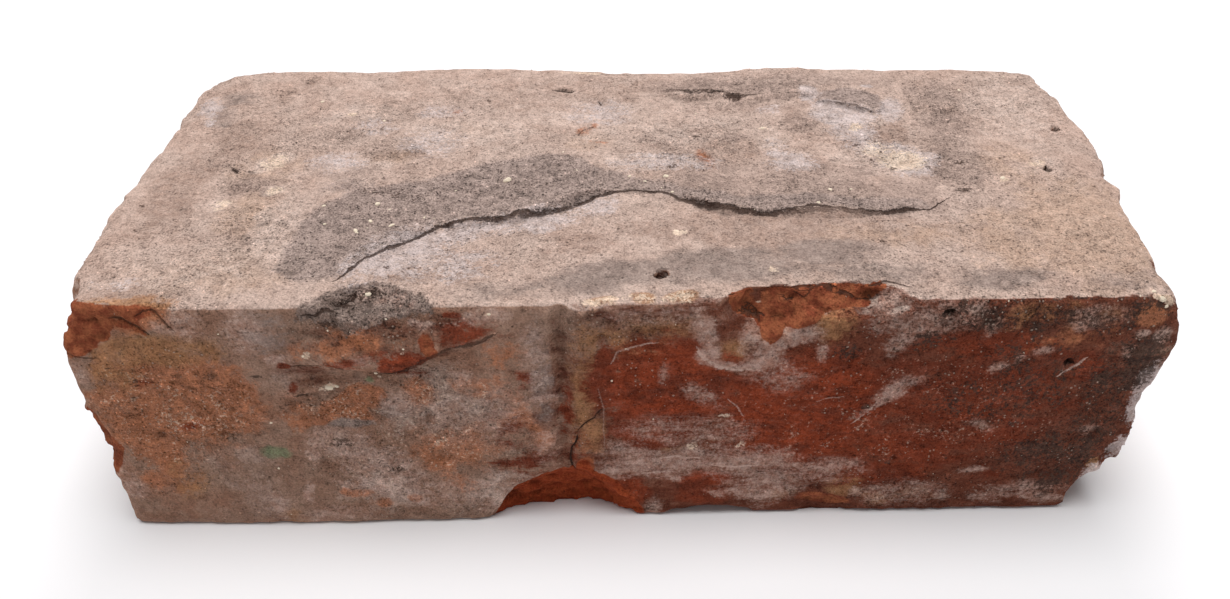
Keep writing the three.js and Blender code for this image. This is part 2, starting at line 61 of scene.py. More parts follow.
# Marks of every kind, on the front and on the top: (across, up, half across, half up, strength),
# then a turn in degrees where there is one. Across is x. Up is z on the front, and depth on the
# top. A strength near 0.5 leaves only scattered specks of the mark.
FRONT_MARKS = {
    "pale": [(-52, 13, 12, 8, 0.6), (-30, 9, 12, 8, 0.6), (-30, 32, 16, 12, 0.5)],
    "brown": [(-85, 14, 10, 14, 0.5), (-70, 44, 8, 6, 0.55), (-35, 36, 16, 12, 0.72)],
    "burnt": [
        (54, 29, 68, 44, 1.15), (95, 22, 30, 36, 1.1), (90, 57, 30, 12, 1.1),
        (-48, 55.4, 22, 6, 0.56, 6), (-66, 47, 8, 4, 0.5), (74, 40, 26, 16, 1.2),
    ],
    "rust": [
        (-94, 40, 16, 14, 1.1, -8), (-104, 30, 10, 11, 0.9, 25), (-102, 17, 8, 6, 0.66, 20),
        (-60, 54, 8, 5, 0.62, 6), (-50, 56, 10, 4, 0.42), (-24, 50, 6, 4, 0.6, 10),
        (-24, 34, 5, 9, 0.66), (-33, 26, 9, 9, 0.62), (-60, 10.6, 4, 1.4, 0.75, -8),
        (-54.6, 7.4, 2.4, 1.4, 0.72), (-47, 8.6, 1.6, 1.2, 0.8), (108, 59.6, 5, 3.4, 0.7, -12),
        (92, 54, 16, 5, 0.4), (-18, 26, 4, 7, 0.55), (-41, 22, 6, 8, 0.62), (31, 57, 4, 4, 0.6),
        (-99, 61, 9, 4, 0.95), (-70, 36, 4, 7, 0.5), (46, 60.6, 7, 2, 0.7, 8), (-7, 25, 3, 9, 0.5),
        (6, 53, 7, 4, 0.6), (17, 48, 5, 3, 0.6), (-45, 40, 6, 5, 0.6), (-29, 43, 7, 4, 0.6),
        (-37, 13, 8, 6, 0.5),
    ],
    "ochre": [
        (-95, 52.6, 14, 4.4, 0.95, 3), (-107, 46, 6, 5, 0.6), (-7.2, 42, 3.4, 24, 0.68, -2),
        (-6, 28, 3, 8, 0.75), (44, 57, 5, 4, 0.72), (52, 10, 5, 4, 0.8, -20),
        (109, 15.4, 1.8, 1.8, 0.95), (7, 57, 10, 4, 0.6), (24, 51.5, 5, 4, 0.66),
        (60, 52.5, 4, 1.5, 0.6), (-75, 3, 5, 3, 0.5), (90, 59, 16, 4, 0.4), (38, 7, 4, 3, 0.55),
        (12, 22, 3, 1.5, 0.5), (64, 6, 12, 3, 0.45), (-97, 15, 7, 6, 0.5),
    ],
    "red": [
        (10, 41, 15, 13, 1.1), (40, 34, 18, 16, 1.2, 4), (74, 36, 26, 15, 0.64),
        (62, 22, 24, 8, 0.75), (2, 9, 5, 5, 0.95, -40), (20, 12.6, 6, 2.4, 1.1),
        (-42, 62.6, 3.4, 1.6, 0.72), (-34, 61, 2, 0.7, 1.0, -12), (-70, 48.6, 1.3, 0.9, 0.95),
        (-69, 42, 1.2, 1.6, 0.66), (-20.6, 44, 2, 4, 0.62), (-3, 44, 2.4, 9, 0.95),
        (-11.6, 34, 1.6, 8, 0.7), (-94, 31, 7, 1.2, 0.7, 18), (-101, 44, 3, 1.4, 0.6, 10),
        (24, 49.5, 3, 1.6, 0.85), (84, 26, 12, 8, 0.62), (20, 7, 8, 3, 0.7), (-22, 20, 8, 9, 0.41),
        (60, 14, 18, 5, 0.72), (6, 27, 10, 4, 0.75), (98, 46, 5, 6, 0.6), (-52, 51, 12, 3, 0.56, 8),
        (-45, 45, 6, 3, 0.4), (-30, 57, 8, 3, 0.56, 8), (-9, 24, 3, 8, 0.5), (-26, 30, 6, 6, 0.43),
        (76, 52, 18, 4, 0.72), (84, 12, 9, 5, 0.42),
    ],
    "fresh": [
        (-7.6, 17.4, 2.4, 2.6, 1.1), (48, 4.6, 6.6, 2.2, 1.1, -10), (-38.6, 55.2, 1.8, 3.2, 1.0, 8),
    ],
    "frost": [(114.4, 37, 3.2, 8, 1.5), (113.2, 20, 2.4, 4, 1.3), (109.6, 12.4, 2.8, 2.6, 1.2)],
    "veil": [
        (17.4, 57, 2.6, 6.4, 0.85, 14), (18.6, 50.4, 2.6, 3, 1.25, 40),
        (23, 46.8, 4.4, 1.2, 1.1, -22), (29.6, 47.6, 3.6, 2.6, 1.2, 20),
        (31.4, 52, 2.6, 6, 0.9, -10), (36, 54.8, 3.4, 1.8, 1.15, 30), (40, 56, 3, 2.4, 0.8),
        (42.5, 51, 1.4, 3, 0.7, 20), (34, 44, 6, 4, 0.5), (18, 38.5, 5, 2, 0.6, -32),
        (9.4, 45, 0.9, 2.6, 0.66, -10), (12, 28, 11, 4, 0.46), (22, 27, 8, 5, 0.46),
        (12, 19, 14, 3.4, 0.98), (30, 17.4, 10, 5, 0.95), (33, 10, 8, 6, 0.78),
        (7, 60.6, 14, 3, 0.34), (45, 15, 10, 4, 0.6), (8, 15, 8, 2, 0.62),
        (12.6, 13.2, 3.6, 0.9, 0.85, -30), (22.5, 7.2, 2.6, 1, 0.85, -28), (8, 4, 2, 3, 0.85),
        (59.5, 40, 4.6, 2, 0.82, 44), (54.5, 34.4, 4, 0.8, 0.7, 44), (63, 42, 3, 1.4, 0.6, 30),
        (80, 46, 1.8, 1.4, 0.85, -20), (84, 48, 1, 2, 0.6), (88.5, 50.6, 2, 1, 0.66, 10),
        (62, 59, 10, 4, 0.55), (55.5, 60.6, 3, 5, 0.85, -30), (59, 55, 2.4, 5, 0.8, -24),
        (48, 62.6, 6, 1.6, 0.6), (73, 61.5, 1.6, 1.4, 0.75), (76.2, 57, 1.4, 2.6, 0.8, -35),
        (75.6, 6, 2, 1.8, 0.95), (82, 14.4, 3, 1.2, 0.8, 8), (55.4, 6.6, 1.4, 2, 0.9, 30),
        (66, 7, 10, 4, 0.56), (88, 6, 5, 3, 0.7), (96, 7, 7, 3, 0.56), (107, 49.6, 1, 1.6, 0.85),
        (108.4, 54, 1.6, 0.9, 0.95, -15), (112.8, 53.6, 1.4, 2, 1.2, -30),
        (94.6, 56, 2, 1, 0.85, -30), (98, 59, 5, 2.6, 0.6), (104.4, 27, 2, 1.6, 0.85),
        (80, 29, 3, 1.4, 0.6, -30), (101, 4, 4, 2, 0.7), (2, 22, 6, 3, 0.62),
        (-61, 26, 7, 4, 0.85, -10), (-56, 21, 11, 5, 0.85, -24), (-53, 14, 9, 4, 0.8),
        (-71, 11, 1, 3.6, 1.0, -14), (-68, 24, 2, 4, 0.8), (-42, 9, 6, 4, 0.66),
        (-79, 6, 2.4, 4, 0.85), (-66, 3, 8, 3, 0.66), (-33, 45, 2, 3, 0.75, 20),
        (-27, 7, 8, 5, 0.66), (-16.6, 24, 3, 5, 0.6), (-16, 38, 3.6, 1.2, 0.8),
        (-17.6, 50, 3, 10, 0.4), (27.4, 55.4, 2, 4, 0.85, -10), (-48, 37, 3, 4, 0.6),
        (-88, 60, 3, 4, 0.66), (-93, 58.6, 2, 1.4, 0.66, -30), (-77, 58, 4, 5, 0.7),
        (-53, 51.6, 2, 1.2, 0.66, -30), (-71, 50.4, 3, 1, 0.8, 8), (-48, 62.6, 6, 1.4, 0.6),
        (-27, 61, 5, 2, 0.66), (-31, 34, 10, 8, 0.45), (-1, 17, 5, 3, 0.75), (-113, 46, 2, 3, 0.7),
        (-112, 14, 3, 5, 0.75),
    ],
    "cream": [
        (-61.2, 42.2, 1.9, 0.8, 1.2, 10), (-65, 52.2, 1, 0.7, 1.1, 30),
        (-51.2, 45.6, 0.6, 0.5, 1.1), (110, 62.6, 2.6, 1.1, 1.5, -34), (16.2, 22, 1, 1.1, 0.7),
        (-96, 35, 22, 18, 0.24), (-59, 37, 11, 7, 0.3), (-36, 32, 22, 20, 0.23),
        (58, 32, 50, 26, 0.18), (-26, 61.4, 0.7, 0.6, 1.0), (23, 32.2, 1.8, 0.5, 0.9, -8),
        (-44, 54, 0.5, 0.4, 0.9), (-44, 28.6, 0.5, 0.5, 0.95), (27.6, 23.4, 1.2, 0.5, 0.8, 20),
        (29, 61, 0.6, 0.5, 0.9),
    ],
    "slate": [
        (-59, 31.6, 5, 1.2, 1.0, 4), (-16.4, 45, 2.4, 16, 0.62), (-48, 36, 3.4, 4, 0.7),
        (-73, 57, 6, 6, 0.6),
    ],
    "soot": [
        (110.5, 48, 4.4, 8, 0.85), (109, 42, 4, 5, 0.75), (106.5, 30, 5, 13, 0.58, 6),
        (101, 22, 10, 9, 0.64), (93, 18, 9, 6, 0.5), (99, 12, 9, 7, 0.5), (105, 40, 6, 12, 0.56),
        (100, 58, 10, 4, 0.5), (84, 40, 18, 12, 0.42), (63, 53, 6, 3, 0.5),
        (107, 60, 6, 2.6, 0.5, -10), (48, 50.5, 3, 2.6, 0.56), (86, 51, 10, 5, 0.4),
        (-54, 62.4, 6, 0.9, 0.85), (-59, 58.8, 1.6, 1, 0.8), (-68, 39.8, 2.4, 0.5, 0.72, 10),
        (-62, 26.6, 3, 1.4, 0.5), (-51, 17.8, 2.4, 0.7, 0.66), (-87, 31.6, 3, 1, 0.6),
        (67.4, 60.4, 1.2, 0.6, 1.2), (92, 59.4, 0.6, 0.6, 1.2), (74.4, 18.4, 0.6, 0.6, 1.1),
        (61, 17, 0.9, 0.9, 0.85), (7, 3, 1.4, 1.2, 0.66), (57.5, 51.2, 0.9, 0.6, 0.9),
        (53.8, 35.2, 0.8, 0.8, 0.85), (69, 54, 1.6, 0.8, 0.75), (-77, 45.6, 1.6, 0.4, 0.8, 12),
        (78, 60, 18, 4, 0.5), (-106.6, 48.6, 1.4, 0.5, 0.8), (-103, 44.6, 1, 1.4, 0.6),
    ],
    "gritty": [
        (-95, 37, 16, 15, 1.1), (-60, 37, 11, 7, 1.1), (-38, 34, 20, 20, 0.6),
        (-58, 20, 10, 12, 0.8), (-2, 58, 16, 5, 0.75), (10, 40, 14, 16, 0.5), (78, 60, 26, 5, 0.9),
        (66, 8, 34, 8, 0.7), (104, 30, 10, 28, 0.6), (72, 34, 32, 22, 0.5), (-50, 58, 20, 5, 0.7),
    ],
    "green": [(-76.8, 23.6, 3.4, 2, 1.0, -6), (-53, 44.4, 0.9, 0.8, 0.95)],
}

TOP_MARKS = {
    "pale": [
        (-35, 96, 34, 12, 0.4), (-36, 72, 22, 10, 0.72), (10, 72, 26, 14, 0.6),
        (104, 82, 12, 20, 0.8), (-76, 30, 5, 16, 0.85), (-73, 22, 4, 12, 0.8),
        (66, 56, 12, 9, 0.95), (8, 55, 12, 5, 0.8), (-90, 14, 16, 10, 0.6), (40, 66, 5, 8, 0.7, 20),
        (62, 79, 9, 6, 0.9, -10), (-64, 54, 6, 5, 0.75, 20), (-15, 80, 10, 6, 0.72),
        (28, 76, 8, 5, 0.66), (-68, 84, 9, 6, 0.7), (-86, 57, 3, 4, 1.0, -30),
        (-82, 60, 4, 3, 0.95, 20), (-92, 39, 2.4, 2.6, 0.85), (-81, 45, 3, 3, 0.85, 30),
        (-65, 50, 3, 2, 0.8, 30), (-56, 56, 3, 3, 0.8), (104, 54, 3, 3, 0.8), (68, 56, 7, 5, 1.2),
        (71, 50, 4, 3, 0.9),
    ],
    "tan": [
        (104, 24, 16, 22, 0.95), (88, 20, 12, 14, 0.8), (-84, 12, 18, 9, 0.7),
        (-82, 36, 8, 12, 0.7), (96, 56, 8, 10, 0.6), (60, 24, 16, 6, 0.55),
        (-84, 56, 9, 8, 0.66, 20), (-6, 66, 7, 6, 0.7), (-54, 60, 6, 5, 0.6),
        (-36, 74, 8, 5, 0.62, -20),
    ],
    "brown": [
        (-103, 45, 7, 20, 0.85), (-95, 70, 8, 10, 0.75), (38, 26, 32, 8, 1.1),
        (-8, 22, 14, 6, 0.66, 30), (-40, 10, 15, 4, 0.66), (70, 69, 5, 8, 1.0),
        (22, 57, 2.4, 6, 0.95, 12), (46, 68, 6, 6, 0.6), (59, 41, 6, 4, 0.8),
        (30, 62, 12, 10, 0.55), (-50, 64, 12, 5, 0.62), (0, 95, 22, 8, 0.5), (-88, 47, 5, 3, 0.75),
        (-99, 4, 13, 4, 0.9), (-85, 102, 3, 3, 0.6, -30), (-83, 8, 5, 3, 0.66),
        (-8, 70, 3, 5, 0.7, 20), (48, 76, 4, 6, 0.9), (36, 84, 16, 4, 0.6), (-27, 90, 14, 6, 0.66),
        (-20, 98, 16, 5, 0.6), (6, 82, 10, 3, 0.5), (-58, 76, 6, 4, 0.6, 10),
        (-72, 71, 9, 4, 0.5, 14), (12, 63, 8, 3, 0.55, -10), (-92, 88, 5, 8, 0.5),
    ],
    "rust": [
        (22, 57, 2, 5.5, 0.8, 12), (-6.6, 74, 2, 4.4, 0.66, -36), (-3, 66, 3.4, 1.4, 0.62, -24),
        (-42, 84, 2, 2, 0.6),
    ],
    "ochre": [
        (67, 52.6, 4, 3, 0.5), (-101, 1, 11, 3, 0.9), (5.4, 2, 2.6, 1.6, 0.95),
        (12.6, 2, 3.6, 1.6, 0.9), (-2.8, 1.7, 3, 1.3, 0.85),
    ],
    "frost": [
        (-47, 18, 12, 7, 1.0, 44), (-36, 25.6, 9, 4, 0.9, 26), (-26, 28.6, 9, 3.4, 0.75, 8),
        (-16, 31, 8, 4, 0.85, 14), (-38, 15, 12, 7, 0.66), (-5, 36, 6, 4, 0.7, 30),
        (60, 79, 8, 5, 1.3, -12), (57, 83, 4, 3.4, 1.25, -20), (53, 91, 2.8, 4.4, 1.0),
        (73, 82, 3, 7, 1.05, -12), (61, 70, 6, 5, 1.05), (65, 62, 7, 4, 1.0), (71, 56, 7, 6, 1.15),
        (71, 50, 5, 3, 0.75), (12, 55, 12, 4.6, 0.7), (69.6, 95.6, 2, 1, 1.1), (-68, 58, 7, 5, 0.6),
        (-46, 68, 8, 7, 0.6), (-108, 88, 3, 5, 0.8, 20), (-106, 82, 1.4, 4, 0.8, 10),
        (-4, 83, 9, 7, 0.6), (-104, 8, 6, 3, 0.5), (42, 83, 4, 2.4, 0.66), (40, 61, 3, 5, 0.72),
        (-62, 76, 6, 4, 0.6), (-46, 84, 6, 4, 0.6), (43, 55, 6, 5, 0.85),
    ],
    "cream": [
        (4, 1.6, 9, 1.4, 0.42), (12, 1.8, 3, 1.6, 0.66), (5.4, 2, 1.6, 1.2, 0.7),
        (-2, 1.6, 3, 1.2, 0.66), (14, 25, 1.4, 0.9, 1.2), (32.8, 10, 1.2, 0.9, 1.2),
        (-5, 1.4, 3, 1, 0.66), (-84, 57.6, 3.4, 4, 0.7, -30), (-80.6, 45, 2, 2, 0.66, 30),
        (-91, 39, 2, 2.4, 0.6), (-69, 83, 1, 1, 0.9), (-77.4, 76.6, 0.9, 0.9, 0.9),
        (-8, 107, 6, 1, 0.7), (70, 56, 5.4, 5, 0.95), (66, 61, 5, 4, 0.66), (62, 73, 2, 2, 0.7),
        (102, 53, 2, 2, 0.6), (38, 73, 1.2, 0.9, 0.8), (92, 46, 1.4, 1, 0.75),
    ],
    "slate": [
        (-1, 9.6, 15, 5, 1.1, 10), (22, 12, 18, 6, 1.1, 2), (44, 16, 12, 5, 1.0, 6),
        (-102, 92, 6, 5, 0.7, 30), (-104, 82, 4, 7, 0.66, 10), (80, 7, 10, 3.6, 0.95),
        (-17, 6, 7, 3, 0.66), (54, 9, 12, 4, 0.72), (104, 6, 8, 3, 0.55), (-30, 4, 10, 3, 0.55),
    ],
    "soot": [
        (83, 54.6, 3, 0.6, 0.66), (62, 56, 1.2, 0.7, 0.9), (67, 52.2, 1, 0.8, 0.9),
        (65, 59.4, 0.9, 0.9, 0.75), (60.6, 63, 1, 0.7, 0.8), (29.6, 69, 1.2, 1.2, 0.6),
        (21, 69, 1.4, 1.2, 0.6, -30), (13.6, 52, 1, 0.9, 0.75), (-48.6, 13.4, 0.7, 0.7, 0.9),
        (-109, 38.6, 0.8, 0.8, 0.85), (-107, 29, 0.6, 0.6, 0.85), (-84.6, 102, 1.2, 1.6, 0.66, -30),
        (-33.6, 90, 0.9, 1.4, 0.72, 30), (-60.6, 58.6, 0.9, 0.5, 0.95, 20),
        (-52, 43, 8, 2, 0.56, -14), (-7, 62.6, 2, 0.6, 0.6), (81, 41.4, 3, 1, 0.66, 20),
        (22, 93, 8, 1.6, 0.72, -4), (33, 89.6, 3, 1.6, 0.85), (58, 20.4, 1.4, 0.8, 0.6),
        (-91.5, 55, 2.4, 0.6, 0.8, -40), (-88, 47, 3, 2, 0.4), (-16, 45, 0.8, 0.7, 0.85),
        (-46, 39, 0.8, 0.6, 0.85), (88, 0.2, 26, 0.8, 0.6), (-40, 4, 0.6, 0.6, 0.8),
    ],
    "sandy": [
        (24, 43, 14, 7, 1.0, -10), (46, 41, 18, 7, 0.95, 4), (66, 38, 12, 8, 0.9, 10),
        (40, 50, 26, 7, 0.72), (81, 54, 7, 13, 0.9, -14), (85, 72, 7, 14, 0.85, -6),
        (86, 90, 7, 9, 0.8, 4), (30, 97, 18, 6, 0.95), (42, 93, 12, 6, 0.85), (66, 43, 10, 6, 0.6),
        (-62, 52, 12, 5, 0.56), (52, 100, 10, 5, 0.75), (66, 98, 10, 4, 0.6), (-86, 48, 6, 4, 0.7),
        (-74, 72, 10, 5, 0.45, 10), (-57, 65, 5, 5, 0.5), (48, 75, 6, 5, 0.72), (31, 68, 4, 3, 0.6),
        (36, 86, 14, 4, 0.62),
    ],
    "crust": [(-62, 46, 8, 4, 0.6)],
    "gritty": [
        (82, 56, 9, 14, 0.95), (86, 82, 8, 16, 0.9), (34, 96, 22, 7, 0.95), (66, 62, 14, 14, 0.8),
        (-56, 64, 8, 6, 0.95), (-88, 48, 7, 5, 0.95), (-72, 70, 14, 7, 0.9, 12),
        (20, 66, 22, 14, 0.7), (50, 74, 10, 8, 0.8), (-80, 30, 12, 20, 0.6), (104, 46, 12, 12, 0.6),
        (40, 40, 34, 8, 0.5), (-62, 84, 16, 8, 0.7),
    ],
}

MARKS = {"front": FRONT_MARKS, "top": TOP_MARKS}

# Outlined marks: (kind, softness of the edge, how far it spreads down a broken edge, outline on
# the front, outline on the top). A mark with both outlines wraps over the front edge.
OUTLINES = [
    ("crust", 4, 0, None,
     [(-66, 8), (-60, 8.6), (-57, 10.6), (-55, 14.6), (-49, 19.8), (-44, 24.6), (-39, 28.8),
      (-35, 30), (-24, 31.4), (-20, 33), (-14, 34.8), (-9, 37), (-4, 41), (3, 42), (13, 40.5),
      (16, 38), (22, 35), (33, 32.4), (45, 33.6), (62, 32), (71, 33.5), (70, 36.6), (58, 37),
      (44, 38), (30, 38.6), (20, 41), (14, 45.4), (4, 48.5), (-5, 52), (-8, 58), (-18, 60),
      (-30, 56.5), (-40, 52), (-50, 48.5), (-60, 45), (-68, 38), (-71, 28), (-72, 14)]),
    ("crust", 1.4, 0, None,
     [(54.2, 86.4), (60, 84.4), (64, 83.2), (67, 80), (70, 79.6), (71.4, 85), (71, 91), (66, 94.4),
      (57, 93.4)]),
    ("scallop", 2.5, 2,
     [(-67, 68), (-65, 61), (-60, 59.5), (-55, 57.5), (-50, 60), (-44, 60.5), (-38, 62), (-35, 68)],
     [(-66, -3), (-60, 2.6), (-55, 5.4), (-50, 6.2), (-45, 5.4), (-40, 2), (-37, -3)]),
    ("torn", 3.0, 3,
     [(-120, 50.6), (-111, 51), (-108.5, 52.6), (-105, 55.6), (-103, 58.6), (-99, 58.4),
      (-96.4, 56.6), (-97, 61), (-92, 62.6), (-94, 68), (-120, 68)],
     [(-124, -6), (-91, -6), (-95, -1.6), (-104, -0.6), (-109, 0.8), (-124, 4)]),
    ("raw", 1.2, 5,
     [(-30, -3), (-27, 5), (-23, 8), (-20, 11), (-17, 13.4), (-13, 15.8), (-10.6, 14), (-10, 18.6),
      (-7, 19.6), (-5.4, 16), (-2, 14.4), (0.5, 10.5), (3.6, 7), (5.4, 2), (6, -3)],
     [(-30, -4), (6, -4), (6, 16), (-30, 16)]),
    ("torn", 1.4, 4,
     [(24.8, 68), (24.6, 61.6), (26.4, 60), (28.4, 59), (29.4, 54.6), (31, 52), (32.4, 53.6),
      (34, 56.4), (37, 57.4), (41, 58.8), (44, 60.6), (47, 62), (50, 64), (52, 68)],
     [(24.6, -4), (24.8, 0), (27, 1), (30, 0.4), (33, 1.9), (36, 2.5), (42, 3.1), (48, 2.4),
      (50, 2.1), (53, 2.7), (55, 2.2), (56.4, 0.2), (56.8, -4)]),
    ("torn", 1.6, 0,
     [(-120, 37), (-114, 36), (-112.4, 28), (-110.6, 24.4), (-112, 21), (-113.6, 16), (-120, 15)],
     None),
    ("red", 3, 0,
     [(-50, 52), (-51, 48.6), (-49, 46.8), (-45, 47), (-42, 49.4), (-38, 52.6), (-42, 53.2),
      (-45, 53.4), (-47, 52.6)],
     None),
    ("burnt", 5, 0,
     [(-37, 56), (-36, 53.8), (-31, 54.2), (-27, 55.6), (-24, 57.4), (-27, 58.6), (-31, 58.8),
      (-36, 58)],
     None),
    ("rust", 5, 0,
     [(-58, 57), (-57, 53.6), (-54.8, 52.8), (-53.6, 55), (-51.8, 53.6), (-49.4, 52.8), (-50.6, 56),
      (-53, 58.4), (-57, 58.4)],
     None),
    ("rust", 2.2, 0,
     [(-69, 32), (-66, 35), (-64, 38), (-60, 39.5), (-58, 42), (-55, 43), (-50, 42), (-49, 38),
      (-51, 36.5), (-54, 36), (-53, 32), (-57, 33), (-60, 33), (-65, 31)],
     None),
]

# Lines: (face, darkness from -1 for chalky to 1 for black, groove depth, [(across, up, width)]).
# A dark line is painted shade: in cracks, pores and grooves, and along the foot of steps and laps.
LINES = [
    ("front", 0.9, 0.5, [
        (-3.6, 35, 0.08), (-5.4, 32.4, 0.14), (-7.4, 30.8, 0.16), (-9.4, 28.6, 0.1)]),
    ("front", 1.0, 0.7, [
        (-9.2, 28, 0.12), (-9.4, 25.4, 0.2), (-10.6, 22.6, 0.16), (-11.2, 19.4, 0.26),
        (-10.6, 16.4, 0.22), (-9.8, 13, 0.12)]),
    ("front", 0.6, 0.5, [
        (-98, 61.4, 0.1), (-95.6, 62.8, 0.22), (-93.4, 62.8, 0.2), (-92, 60.6, 0.24),
        (-90, 57.6, 0.1)]),
    ("front", 0.5, 0.4, [
        (-104, 60.4, 0.1), (-101, 60.2, 0.2), (-98.4, 58.6, 0.24), (-96, 56.4, 0.1)]),
    ("front", 0.5, 0.3, [(-115, 52, 0.2), (-111, 51, 0.2), (-108.4, 50.8, 0.1)]),
    ("front", 0.75, 0.3, [
        (-47.6, 60.6, 0.16), (-47.4, 59, 0.2), (-46, 57.8, 0.2), (-45, 58.8, 0.16)]),
    ("front", 0.66, 0.0, [
        (-70, 48, 0.1), (-64, 49.4, 0.3), (-58, 49.6, 0.2), (-52, 46.6, 0.3), (-48.6, 46.2, 0.5),
        (-45, 47.2, 0.7), (-42, 49.4, 0.9), (-39.6, 51.4, 0.7), (-37.4, 53, 0.5), (-34, 53.8, 0.6),
        (-30, 54.4, 0.6), (-26, 56, 0.4), (-23.6, 57.4, 0.1)]),
    ("front", 0.8, 0.4, [
        (-64, 61.6, 0.2), (-61, 61.4, 0.3), (-59.4, 62.6, 0.4), (-57, 61.8, 0.3),
        (-54.6, 61.8, 0.3), (-53.4, 63.2, 0.3)]),
    ("front", 0.6, 0.3, [(26, 60.8, 0.16), (28.4, 59.4, 0.2), (29.4, 57, 0.16)]),
    ("front", 0.6, 0.3, [(35.6, 63.4, 0.16), (38, 62.4, 0.24), (40, 64.2, 0.16)]),
    ("front", -0.3, 0.0, [(-4.2, 42, 0.1), (-3.4, 35, 0.24), (-3, 22, 0.1)]),
    ("front", -0.7, 0.0, [(-1.6, 47.6, 0.2), (0, 51.2, 0.34), (3, 52.8, 0.3), (8.6, 53.6, 0.16)]),
    ("front", -0.6, 0.0, [(23.4, 37.6, 0.1), (25.4, 35.4, 0.22), (27.6, 32, 0.16)]),
    ("front", -0.5, 0.0, [(42.4, 36.6, 0.1), (46, 37.6, 0.2), (49, 38, 0.1)]),
    ("front", -0.7, 0.0, [(51, 29, 0.1), (54, 33, 0.3), (56, 36.6, 0.2)]),
    ("front", -0.8, 0.0, [
        (16, 53, 0.2), (17.6, 49.6, 0.4), (21, 46.8, 0.5), (25, 45.6, 0.4), (29, 46.4, 0.3)]),
    ("front", -0.8, 0.0, [(9, 19.2, 0.1), (13, 19.8, 0.4), (19, 19.2, 0.1)]),
    ("front", -0.8, 0.0, [(21, 16.8, 0.1), (27, 16.2, 0.4), (33, 16.9, 0.1)]),
    ("front", -0.7, 0.0, [(4, 14.4, 0.1), (9, 15.1, 0.3), (14, 14.8, 0.1)]),
    ("front", -0.9, 0.0, [
        (93.4, 42.4, 0.1), (95.4, 44.4, 0.34), (97.4, 46.6, 0.4), (98.8, 48.4, 0.2)]),
    ("top", 0.85, 0.0, [
        (-62, 7, 0.1), (-58, 8.4, 0.3), (-56.6, 11, 0.4), (-54.4, 14.8, 0.4), (-49.6, 19.4, 0.4),
        (-45, 23.4, 0.4), (-40, 28, 0.4), (-36, 29.8, 0.4), (-30, 30.4, 0.42), (-25, 30.8, 0.5),
        (-20, 32.8, 0.75), (-15, 34.2, 0.9), (-10, 36.4, 0.8), (-5, 40.2, 0.6), (0, 41.6, 0.35),
        (3, 42.2, 0.35), (7, 41.8, 0.35), (12, 41, 0.34), (15, 38, 0.5), (19, 35.6, 0.66),
        (24, 34.3, 0.62), (30, 32.7, 0.56), (35, 31.5, 0.54), (41, 32.7, 0.46), (45, 33.7, 0.42),
        (52, 31.9, 0.54), (60, 31.5, 0.56), (66, 33.1, 0.46), (71, 33.2, 0.2), (80, 40.6, 0.08)]),
    ("top", 0.62, 0.0, [
        (24.4, 1.4, 0.12), (27, 2.6, 0.3), (30, 2.1, 0.2), (33, 3.6, 0.24), (36, 4.2, 0.22),
        (42, 4.8, 0.2), (48, 4.1, 0.12), (50.4, 3.8, 0.1), (53, 4.5, 0.16), (55, 4, 0.2),
        (57.4, 3.1, 0.1)]),
    ("top", 0.6, 0.0, [
        (37, 31.6, 0.2), (43, 31.8, 0.55), (49, 32, 0.6), (56, 31.6, 0.5), (60, 31.2, 0.2)]),
    ("top", 0.45, 0.1, [(-95, 58.4, 0.1), (-93.4, 56.4, 0.2), (-91, 53.4, 0.1)]),
    ("top", 0.4, 0.1, [
        (12.6, 94.4, 0.3), (16, 93.8, 0.8), (20.6, 92, 0.6), (25, 91.8, 0.6), (29.6, 92, 0.5)]),
    ("top", 0.6, 0.2, [
        (29, 92.4, 0.3), (31, 90.6, 0.8), (33.2, 88.6, 0.8), (36, 89.8, 0.5), (41, 91, 0.2)]),
    ("top", 1.0, 1.8, [(7.8, 8.4, 0.3), (9, 9.4, 0.75), (10.4, 10.6, 0.4)]),
    ("top", 1.0, 1.6, [(103.2, 49.4, 0.3), (103.6, 50.6, 0.75), (103.8, 51.8, 0.3)]),
    ("top", 1.0, 1.6, [(112.8, 70, 0.3), (113.2, 71.2, 0.7), (113.2, 72.4, 0.3)]),
    ("top", 1.0, 1.4, [(-16.4, 96.3, 0.5), (-13.6, 96.5, 0.8), (-11, 96.3, 0.5)]),
    ("front", 1.0, 1.2, [(94, 46.2, 0.3), (95, 46.8, 0.7), (96, 47, 0.3)]),
    ("front", 1.0, 1.0, [(66.4, 60.3, 0.2), (67.6, 60.4, 0.5), (68.6, 60.4, 0.2)]),
    ("top", 0.3, 0.0, [
        (54.4, 86.4, 0.2), (60, 84.6, 0.3), (64, 83.4, 0.3), (67, 80.4, 0.3), (69, 79.6, 0.2)]),
    ("top", 0.75, 0.3, [
        (50, 3.6, 0.2), (52.6, 5.4, 0.3), (55, 6.2, 0.3), (57, 5.6, 0.2), (60.6, 4.2, 0.1)]),
    ("top", 0.8, 0.2, [
        (22, 2.4, 0.2), (27, 3, 0.34), (31, 3, 0.3), (36, 4.4, 0.4), (43, 5, 0.34),
        (49, 4.2, 0.2)]),
    ("front", 0.45, 0.1, [
        (-5, 64.5, 0.1), (2, 64.4, 0.24), (10, 64.5, 0.2), (18, 64.3, 0.26), (22, 64.2, 0.1)]),
    ("top", 0.5, 0.2, [(-9.6, 70, 0.1), (-8.4, 72.6, 0.2), (-6, 74.4, 0.22), (-5, 75, 0.1)]),
    ("top", 0.8, 0.3, [(-3.8, 89.4, 0.2), (-3.4, 87.4, 0.2)]),
    ("top", -0.5, 0.0, [(-6.6, 57, 0.1), (-5.6, 53, 0.24), (-6.2, 47, 0.1)]),
]

